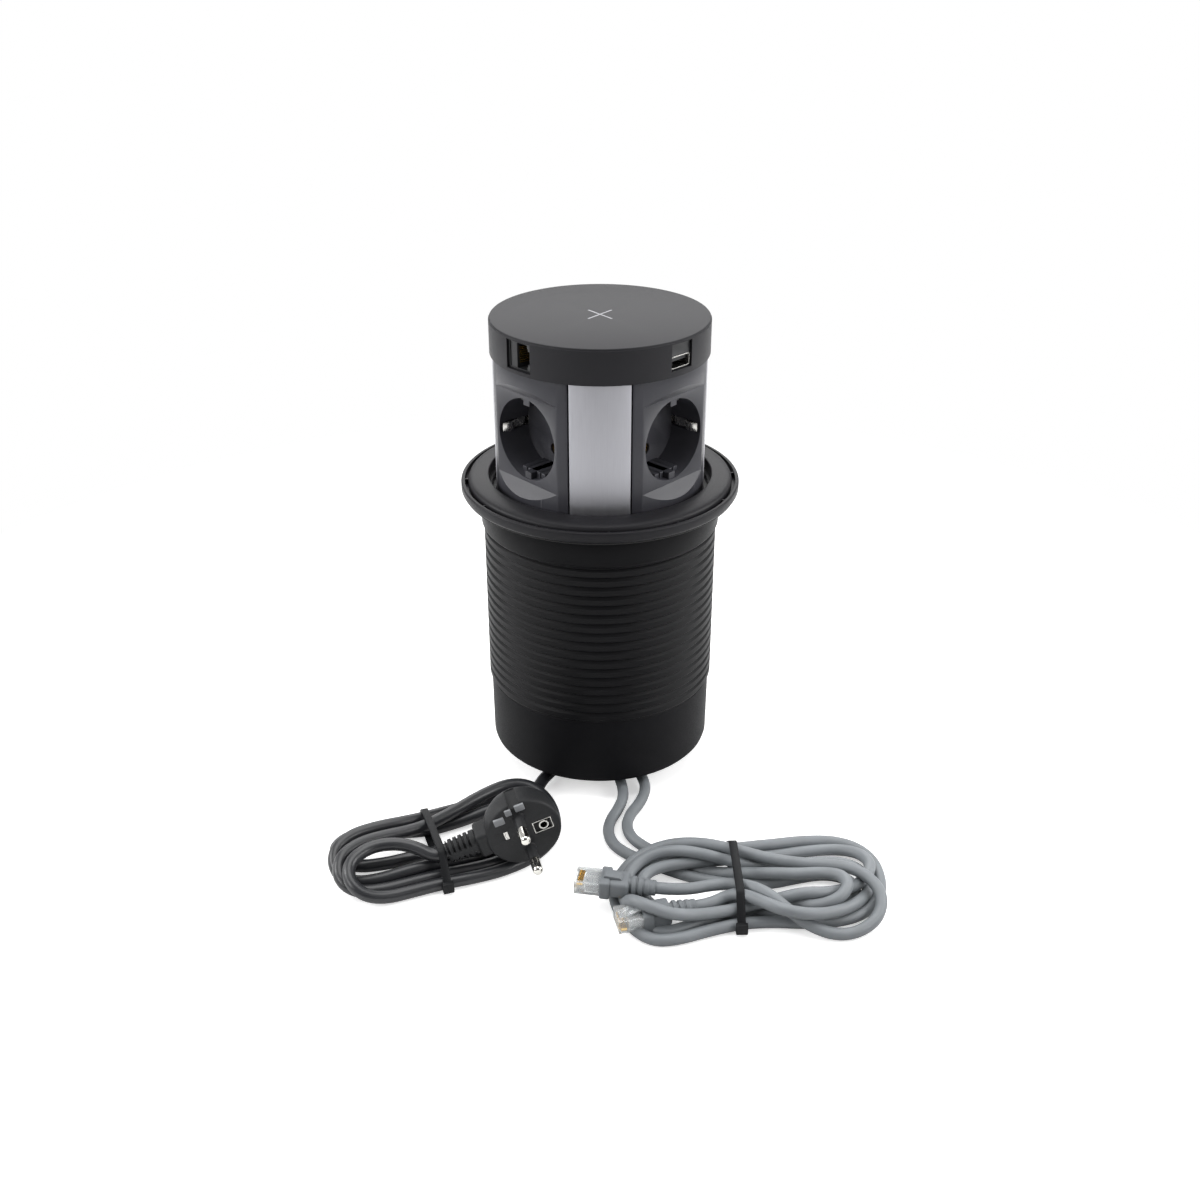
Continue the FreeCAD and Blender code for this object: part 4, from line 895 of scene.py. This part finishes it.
class MODULE_OT_mains_cord(BuildOperator, bpy.types.Operator):
    """Mains lead wound to a tied hank, with its plug, pins, strain relief and tie"""
    bl_idname = "module.mains_cord"
    bl_label = "Mains lead and plug"

    def build(self, look, cords):
        cord = lead("mains_lead", MAINS_ROUTE, cords.mains_diameter, finish("lead_black"))
        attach(cord, "housing")
        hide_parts("mains_cord", "mains_hank")

        plug, earth, pads = self.plug_body(), self.earth_frame(), self.pads()
        sleeves, tips = self.pins()
        relief = self.relief()
        for piece, slot, look_name, stands_for in (
                (plug, "plug_black", "plug_black", ["mains_plug"]),
                (earth, "contact_steel", "spring_steel", []),
                (pads, "boot_grey", "plug_pad", []),
                (tips, "pin_nickel", "nickel", ["mains_pins"]),
                (sleeves, "plug_black", "plug_black", []),
                (relief, "plug_black", "plug_black", ["mains_relief"])):
            finish_piece(settle(piece, 0, PLUG_STAND), "housing", slot, look_name, *stands_for)
        place = stand((-79.3, -104.8, 0.0), (0.95, 0.31, 0.0), (0, 0, 1))
        spots = crossings([MAINS_ROUTE], place, 36)
        tie = strap("mains_strap", spots, cords.mains_diameter / MM / 2, 3.6)
        finish_piece(settle(tie, 0, place), "housing", "tie_black", "nylon", "mains_tie")

    def plug_body(self):
        """Round body with a fine rim, a domed back, side grooves, a recessed earth window and a neck."""
        body = spun_x("plug_body", [
            (0.0, 0.0), (16.3, 0.0), (17.1, -0.15), (17.7, -0.6), (18.0, -1.3), (18.0, -9.0), (17.4, -12.0),
            (15.6, -15.4), (13.0, -18.2), (10.0, -19.6), (8.0, -20.0), (0.0, -20.0)], 96)
        half = 6.5
        neck = block("neck", (-7.5 - half, 8.0, -half), (-7.5 + half, 22.5, half))
        soften(neck, 1.8, 4)
        carve(body, neck, "UNION")
        for side in (-1, 1):
            near, far = sorted((side * 15.8, side * 19.5))
            cut(body, (-14.0, -2.6, near), (1.0, 2.6, far))
        cut(body, (-1.6, -14.2, -3.4), (1.0, -4.6, 3.4))
        hole = bar("earth_hole", 2.5, -6, 6, 0, 0, 40)
        place = Matrix.Translation((-0.006, -0.0098, 0)) @ Matrix.Rotation(math.pi / 2, 4, "Z")
        carve(body, settle(hole, 0, place))
        cut(body, (-0.8, 7.0, -4.6), (1.0, 9.4, 0.2))
        clean(body)
        soften(body, 0.22, 2)
        return smooth(named(body, "plug_body"), 35)

    def earth_frame(self):
        """Steel frame and sleeve in the earth window, and the small contact plate beside them."""
        outer = block("earth_frame", (-1.55, -14.15, -3.35), (-0.25, -4.65, 3.35))
        cut(outer, (-3.0, -13.6, -2.85), (1.0, -5.2, 2.85))
        clean(outer)
        soften(outer, 0.1, 2)
        ring = spun_x("ring", [(1.7, 0.2), (2.35, 0.2), (2.45, 0.0), (2.45, -9.0), (1.9, -9.0),
                               (1.7, 0.0)], 40)
        settle(ring, 0, Matrix.Translation((-0.0006, -0.0098, 0)))
        plate = block("plate", (-0.7, 7.2, -4.4), (0.12, 9.2, 0.0))
        cut(plate, (-0.2, 7.75, -3.8), (1.0, 8.65, -0.6))
        clean(plate)
        soften(plate, 0.1, 2)
        return smooth(join([outer, ring, plate], "earth_frame"), 40)

    def pads(self):
        """Three low pads at the face's upper edge."""
        parts = []
        for y, z, wide, tall in ((9.0, -11.5, 5.0, 3.6), (3.6, -14.6, 3.0, 3.2), (-2.2, -15.2, 4.6, 3.4)):
            pad = block("pad", (-0.3, y - wide / 2, z - tall / 2), (1.1, y + wide / 2, z + tall / 2))
            parts.append(soften(pad, 0.3, 2))
        return smooth(join(parts, "plug_pads"), 40)

    def pins(self):
        """Two round pins: a plastic sleeve over the first half, a bright rounded tip."""
        tips, sleeves = [], []
        for side in (-1, 1):
            tip = spun_x("pin", [(0.0, 0.0), (2.15, 0.0), (2.15, 10.0), (2.4, 10.0), (2.4, 17.2),
                                 (2.25, 18.0), (1.8, 18.65), (1.1, 18.95), (0.0, 19.0)], 40)
            sleeve = spun_x("sleeve", [(2.16, 0.0), (3.0, 0.0), (2.6, 0.5), (2.42, 1.2), (2.4, 9.8),
                                       (2.3, 10.0), (2.16, 10.0)], 40)
            for piece, kept in ((tip, tips), (sleeve, sleeves)):
                settle(piece, 0, Matrix.Translation((0, 0, side * PIN_OFF * MM)))
                kept.append(smooth(piece, 45))
        return join(sleeves, "pin_sleeves"), join(tips, "pin_tips")

    def relief(self):
        """Tapering sleeve slit in steps from both sides, with a spine left between the slits."""
        body = spun_x("relief", [(0.0, 0.0), (5.9, 0.0), (6.0, 0.6), (5.6, 13.6), (5.3, 14.3), (4.6, 14.5),
                                 (0.0, 14.5)], 48)
        for i in range(5):
            x = 1.6 + i * 2.6
            for side in (-1, 1):
                near, far = sorted((side * 1.5, side * 9.0))
                shift = 0.0 if side > 0 else 0.9
                cut(body, (x + shift, -8, near), (x + shift + 1.1, 8, far))
        cut(body, (-1, -9, -9), (16, -5.2, 9))
        core = spun_x("core", [(0.0, 0.0), (4.0, 0.0), (3.8, 14.5), (0.0, 14.5)], 32)
        clean(body)
        soften(body, 0.2, 2)
        body = smooth(join([body, core], "strain_relief"), 40)
        place = Matrix.Translation((-0.0075, 0.0225, 0)) @ Matrix.Rotation(math.pi / 2, 4, "Z")
        return settle(body, 0, place)


NETWORK_STANDS = (((-11.1, -137.8, 14.0), (0.987, -0.16, 0.0), (0.0, 0.0, 1.0)),
                  ((7.2, -158.0, 7.4), (0.975, 0.22, 0.03), (0.0, 0.0, -1.0)))


class MODULE_OT_network_cords(BuildOperator, bpy.types.Operator):
    """Two grey network cables wound to a tied hank, with clear plugs and booted ends"""
    bl_idname = "module.network_cords"
    bl_label = "Network cables and plugs"

    def build(self, look, cords):
        body, cover, gold = self.plug()
        tail = self.boot(cords.network_diameter / MM)
        made = []
        for i, place in enumerate(NETWORK_STANDS, 1):
            group = []
            for piece, name, slot, look_name, stands_for in (
                    (body, "clear_plug_%d", "plug_clear", "plug_clear", ["network_plug_%d"]),
                    (cover, "plug_insert_%d", "boot_grey", "boot_grey", []),
                    (gold, "plug_blades_%d", "contact_brass", "gold", []),
                    (tail, "boot_%d", "boot_grey", "boot_grey", ["network_boot_%d"])):
                part = copied(piece, name % i, 0, stand(*place))
                group.append(finish_piece(part, "housing", slot, look_name, *[n % i for n in stands_for]))
            made.append(group)
        remove(body, cover, gold, tail)
        place = stand((63.0, -127.8, 0.0), (1.0, 0.02, 0.0), (0, 0, 1))
        spots = crossings([NETWORK_ROUTE_1, NETWORK_ROUTE_2], place, 40)
        tie = strap("network_strap", spots, cords.network_diameter / MM / 2, 3.8)
        finish_piece(settle(tie, 0, place), "housing", "tie_black", "nylon", "network_tie")
        made[0].append(tie)
        for i, (route, length) in enumerate(zip((NETWORK_ROUTE_1, NETWORK_ROUTE_2), NETWORK_LENGTHS)):
            cord = lead("network_lead_%d" % (i + 1), route, cords.network_diameter, finish("lead_grey"))
            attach(cord, "housing")
            stands_for = ["network_cord_%d" % (i + 1)] + (["network_hank"] if i == 0 else [])
            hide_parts(*stands_for)

    def plug(self):
        """Clear body with a latch arm, the grey jacket seen inside it, and eight gilt blades."""
        body = block("clear_plug", (0, -5.85, -3.3), (12.5, 5.85, 3.3))
        cut(body, (1.2, -4.3, 2.5), (4.2, 4.3, 4.5))
        cut(body, (4.6, -4.7, -2.2), (13, 4.7, 2.3))
        arm = prism("latch", [(1.0, -2.9, -3.2), (12.6, -2.9, -6.4), (12.6, -2.9, -5.6), (3.2, -2.9, -3.0)],
                    (0, 5.8, 0))
        body = smooth(soften(join([body, arm], "clear_plug"), 0.2, 2), 40)
        cover = soften(block("insert", (4.8, -4.4, -1.9), (12.4, 4.4, 2.0)), 0.8, 3)
        blades = []
        for i in range(8):
            y = (i - 3.5) * 1.02
            blades.append(soften(block("blade", (1.4, y - 0.2, 1.0), (4.0, y + 0.2, 2.9)), 0.06, 1))
        return body, smooth(cover, 40), smooth(join(blades, "blades"), 40)

    def boot(self, diameter):
        """Boot with flared wings in front and a ribbed tail."""
        front = block("boot", (11.6, -6.6, -4.6), (16.4, 6.6, 4.6))
        waist = block("waist", (15.0, -5.7, -4.0), (25.0, 5.7, 4.0))
        soften(front, 0.9, 3)
        soften(waist, 1.6, 3)
        hook = prism("hook", [(13.0, -2.4, 4.2), (22.0, -2.4, 4.0), (20.5, -2.4, 5.4), (13.6, -2.4, 6.0)],
                     (0, 4.8, 0))
        soften(hook, 0.4, 2)
        r = diameter / 2
        profile = [(0.0, 24.0), (r + 0.9, 24.0)]
        for i in range(4):
            x = 25.0 + i * 3.0
            crest = r + 1.7 - 0.3 * i
            profile += [(r + 0.9 - 0.05 * i, x + 0.2), (r + 0.85 - 0.05 * i, x + 1.1), (crest, x + 1.25),
                        (crest, x + 2.7), (crest - 0.2, x + 2.95)]
        profile += [(r + 0.3, 37.0), (0.0, 37.0)]
        tail = spun_x("tail", profile, 40)
        return smooth(join([front, waist, hook, tail], "boot"), 38)


class MODULE_OT_inside(BuildOperator, bpy.types.Operator):
    """The coiled lead inside, and finishes for the parts that are kept as they are"""
    bl_idname = "module.inside"
    bl_label = "Inner parts"

    def build(self, look, cords):
        begin()
        turns, steps = 11, 30
        radius, wire = 27.0, 2.6
        low, high = 16.2, 126.6
        bpy.ops.mesh.primitive_circle_add(
            vertices=12, radius=wire * MM, location=(radius * MM, 0, low * MM),
            rotation=(math.pi / 2, 0, 0), fill_type="NGON")
        coil = named(settle(bpy.context.object), "coiled_lead")
        wind = coil.modifiers.new("wind", "SCREW")
        wind.angle = 2 * math.pi * turns
        wind.screw_offset = (high - low) * MM
        wind.steps = turns * steps
        wind.render_steps = turns * steps
        wind.use_merge_vertices = False
        wind.axis = "Z"
        active(coil)
        bpy.ops.object.modifier_apply(modifier=wind.name)
        clean(coil)
        smooth(coil, 60)
        finish_piece(coil, "housing", "lead_black", "lead_black", "inner_lead")
        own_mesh(coil)

        kept = {
            "inner_abs": ["head_tray", "core_column", "tower_base", "cable_outlet"],
            "port_abs": ["stop_ring"],
            "cup_abs": ["mains_gland", "network_gland_1", "network_gland_2"],
            "screw": ["base_screws"],
            "copper": ["charging_coil"],
            "board": ["charger_board"],
            "rubber": ["friction_ring"],
            "brass": ["live_contacts"],
            "gold": ["jack_contacts_1", "jack_contacts_2"],
        }
        for name, members in kept.items():
            for member in members:
                piece = nodes[member]
                piece.data.materials.clear()
                piece.data.materials.append(finish(name))


# The floor's own light as the camera sees it, and the strength of the room's light
FLOOR_LIFT = 0.5
WORLD_LEVEL = 0.7
# the room's grey from front to back, as (place, level)
ROOM = ((0.0, 0.2), (0.22, 0.3), (0.45, 0.75), (1.0, 0.9))
# metres from the middle over which the floor fades to the white background
FADE = (0.25, 0.5)
CAMERA_PLACE, CAMERA_TILT, CAMERA_LENS = (0, -0.6527, 0.4347), 0.491, 42.675
MODULE_MIDDLE, MODULE_TOP = (0.0, 0.0, 0.17), (0.0, 0.0, 0.2)
# name, place, aim, size, power: metres and watts
LAMPS = (
    ("top_softbox", (0.0, 0.1, 1.15), MODULE_TOP, (0.9, 0.9), 9.0),
    ("back_softbox", (0.0, 1.25, 0.95), MODULE_TOP, (1.8, 0.8), 12.0),
    ("left_softbox", (-0.85, 0.03, 0.52), MODULE_MIDDLE, (0.5, 0.4), 4.5),
    ("right_softbox", (0.85, 0.03, 0.52), MODULE_MIDDLE, (0.5, 0.4), 4.5),
    ("left_fill", (-0.72, -0.55, 0.5), MODULE_MIDDLE, (0.35, 0.4), 3.0),
    ("right_fill", (0.72, -0.55, 0.5), MODULE_MIDDLE, (0.35, 0.4), 3.0),
)


def even_grey(level):
    return (level, level, level, 1)


def either(tree, one, two):
    """1 where either of two ray kinds is 1."""
    return add_node(tree, "ShaderNodeMath", {"operation": "MAXIMUM"}, {"0": one, "1": two}).outputs[0]


def glowing(tree, kind, strength):
    return add_node(tree, kind, {"Color": (1, 1, 1, 1), "Strength": strength}).outputs[0]


def mixed(tree, share, one, two):
    """The second shader where the share is 1, the first where it is 0."""
    return add_node(tree, "ShaderNodeMixShader", {}, {"0": share, "1": one, "2": two}).outputs[0]


class MODULE_OT_stage(BuildOperator, bpy.types.Operator):
    """Pale floor, soft lamps, world and camera"""
    bl_idname = "module.stage"
    bl_label = "Stage"

    def build(self, look, cords):
        begin()
        bpy.ops.mesh.primitive_plane_add(size=6.0, location=(0, 0, 0))
        floor = bpy.context.object
        floor.name = "floor"
        floor.data.materials.append(self.board())
        self.room()
        for name, place, aim, size, power in LAMPS:
            bpy.ops.object.light_add(type="AREA", location=place)
            lamp = bpy.context.object
            lamp.name = name
            lamp.data.shape = "RECTANGLE"
            lamp.data.size, lamp.data.size_y = size
            lamp.data.energy = power
            toward = Vector(aim) - Vector(place)
            lamp.rotation_euler = toward.to_track_quat("-Z", "Y").to_euler()

        bpy.ops.object.camera_add(location=CAMERA_PLACE, rotation=(math.pi / 2 - CAMERA_TILT, 0, 0))
        camera = bpy.context.object
        camera.data.sensor_width = 36.0
        camera.data.lens = CAMERA_LENS
        camera.data.dof.use_dof = False
        bpy.context.scene.camera = camera
        bpy.context.scene.view_settings.view_transform = "Standard"

    def board(self):
        """Matt white board that fades to the white background for the camera."""
        made = bpy.data.materials.new("matt_white_board")
        made.use_nodes = True
        tree = made.node_tree
        shader = tree.nodes["Principled BSDF"]
        place = add_node(tree, "ShaderNodeTexCoord").outputs["Object"]
        tooth = add_node(tree, "ShaderNodeTexNoise", {"Scale": 900.0, "Detail": 2.0}, {"Vector": place})
        tint = ramp(tree, tooth.outputs["Fac"], [(0.3, linear("#f4f4f4")), (0.7, linear("#f8f8f8"))])
        tree.links.new(tint, shader.inputs["Base Color"])
        shader.inputs["Roughness"].default_value = 0.9
        shader.inputs["Specular IOR Level"].default_value = 0.0
        matt = shader.outputs[0]
        path = add_node(tree, "ShaderNodeLightPath").outputs
        clear = either(tree, path["Is Camera Ray"], path["Is Transmission Ray"])
        seen = either(tree, clear, path["Is Glossy Ray"])
        lift = glowing(tree, "ShaderNodeEmission", FLOOR_LIFT)
        lifted = add_node(tree, "ShaderNodeAddShader", {}, {"0": matt, "1": lift}).outputs[0]
        # what lights the piece from below is darker than what the camera sees
        dull = add_node(tree, "ShaderNodeBsdfDiffuse", {"Color": even_grey(0.3)}).outputs[0]
        away = add_node(tree, "ShaderNodeVectorMath", {"operation": "LENGTH"}, {"0": place})
        edge = add_node(tree, "ShaderNodeMapRange", {"From Min": FADE[0], "From Max": FADE[1]},
                        {"Value": away.outputs["Value"]}).outputs[0]
        shown = mixed(tree, edge, lifted, glowing(tree, "ShaderNodeEmission", 1.0))
        plain = mixed(tree, clear, matt, shown)
        tree.links.new(mixed(tree, seen, dull, plain), tree.nodes["Material Output"].inputs["Surface"])
        return made

    def room(self):
        """World: white behind the object, a soft light that is stronger from the back elsewhere."""
        world = bpy.context.scene.world or bpy.data.worlds.new("studio")
        bpy.context.scene.world = world
        world.use_nodes = True
        tree = world.node_tree
        tree.nodes.clear()
        path = add_node(tree, "ShaderNodeLightPath").outputs
        seen = either(tree, path["Is Camera Ray"], path["Is Transmission Ray"])
        way = add_node(tree, "ShaderNodeTexCoord").outputs["Generated"]
        parts = add_node(tree, "ShaderNodeSeparateXYZ", {}, {"0": way}).outputs
        back = add_node(tree, "ShaderNodeMapRange", {"From Min": -1.0, "From Max": 1.0},
                        {"Value": parts["Y"]})
        room = ramp(tree, back.outputs[0], [(where, even_grey(level)) for where, level in ROOM])
        soft = add_node(tree, "ShaderNodeBackground", {"Strength": WORLD_LEVEL}, {"Color": room}).outputs[0]
        white = glowing(tree, "ShaderNodeBackground", 1.0)
        out = add_node(tree, "ShaderNodeOutputWorld")
        tree.links.new(mixed(tree, seen, soft, white), out.inputs["Surface"])


class MODULE_PT_panel(bpy.types.Panel):
    """Building steps of the power module"""
    bl_label = "Power module"
    bl_idname = "MODULE_PT_panel"
    bl_space_type = "VIEW_3D"
    bl_region_type = "UI"
    bl_category = "Power module"

    def draw(self, context):
        column = self.layout.column()
        for step in STEPS:
            column.operator(step.bl_idname)
        for group in (context.scene.module_look, context.scene.cord_look):
            for key in group.__annotations__:
                column.prop(group, key)


STEPS = (MODULE_OT_housing, MODULE_OT_flange, MODULE_OT_head, MODULE_OT_strips, MODULE_OT_sockets,
         MODULE_OT_ports, MODULE_OT_mains_cord, MODULE_OT_network_cords, MODULE_OT_inside, MODULE_OT_stage)
CLASSES = (ModuleLook, CordLook) + STEPS + (MODULE_PT_panel,)


def register():
    for part in CLASSES:
        bpy.utils.register_class(part)
    bpy.types.Scene.module_look = bpy.props.PointerProperty(type=ModuleLook)
    bpy.types.Scene.cord_look = bpy.props.PointerProperty(type=CordLook)


def unregister():
    del bpy.types.Scene.cord_look
    del bpy.types.Scene.module_look
    for part in reversed(CLASSES):
        bpy.utils.unregister_class(part)


def main():
    """Builds every piece."""
    register()
    bpy.ops.module.housing()
    bpy.ops.module.flange()
    bpy.ops.module.head()
    bpy.ops.module.strips()
    bpy.ops.module.sockets()
    bpy.ops.module.ports()
    bpy.ops.module.mains_cord()
    bpy.ops.module.network_cords()
    bpy.ops.module.inside()
    bpy.ops.module.stage()


if __name__ == "__main__":
    main()
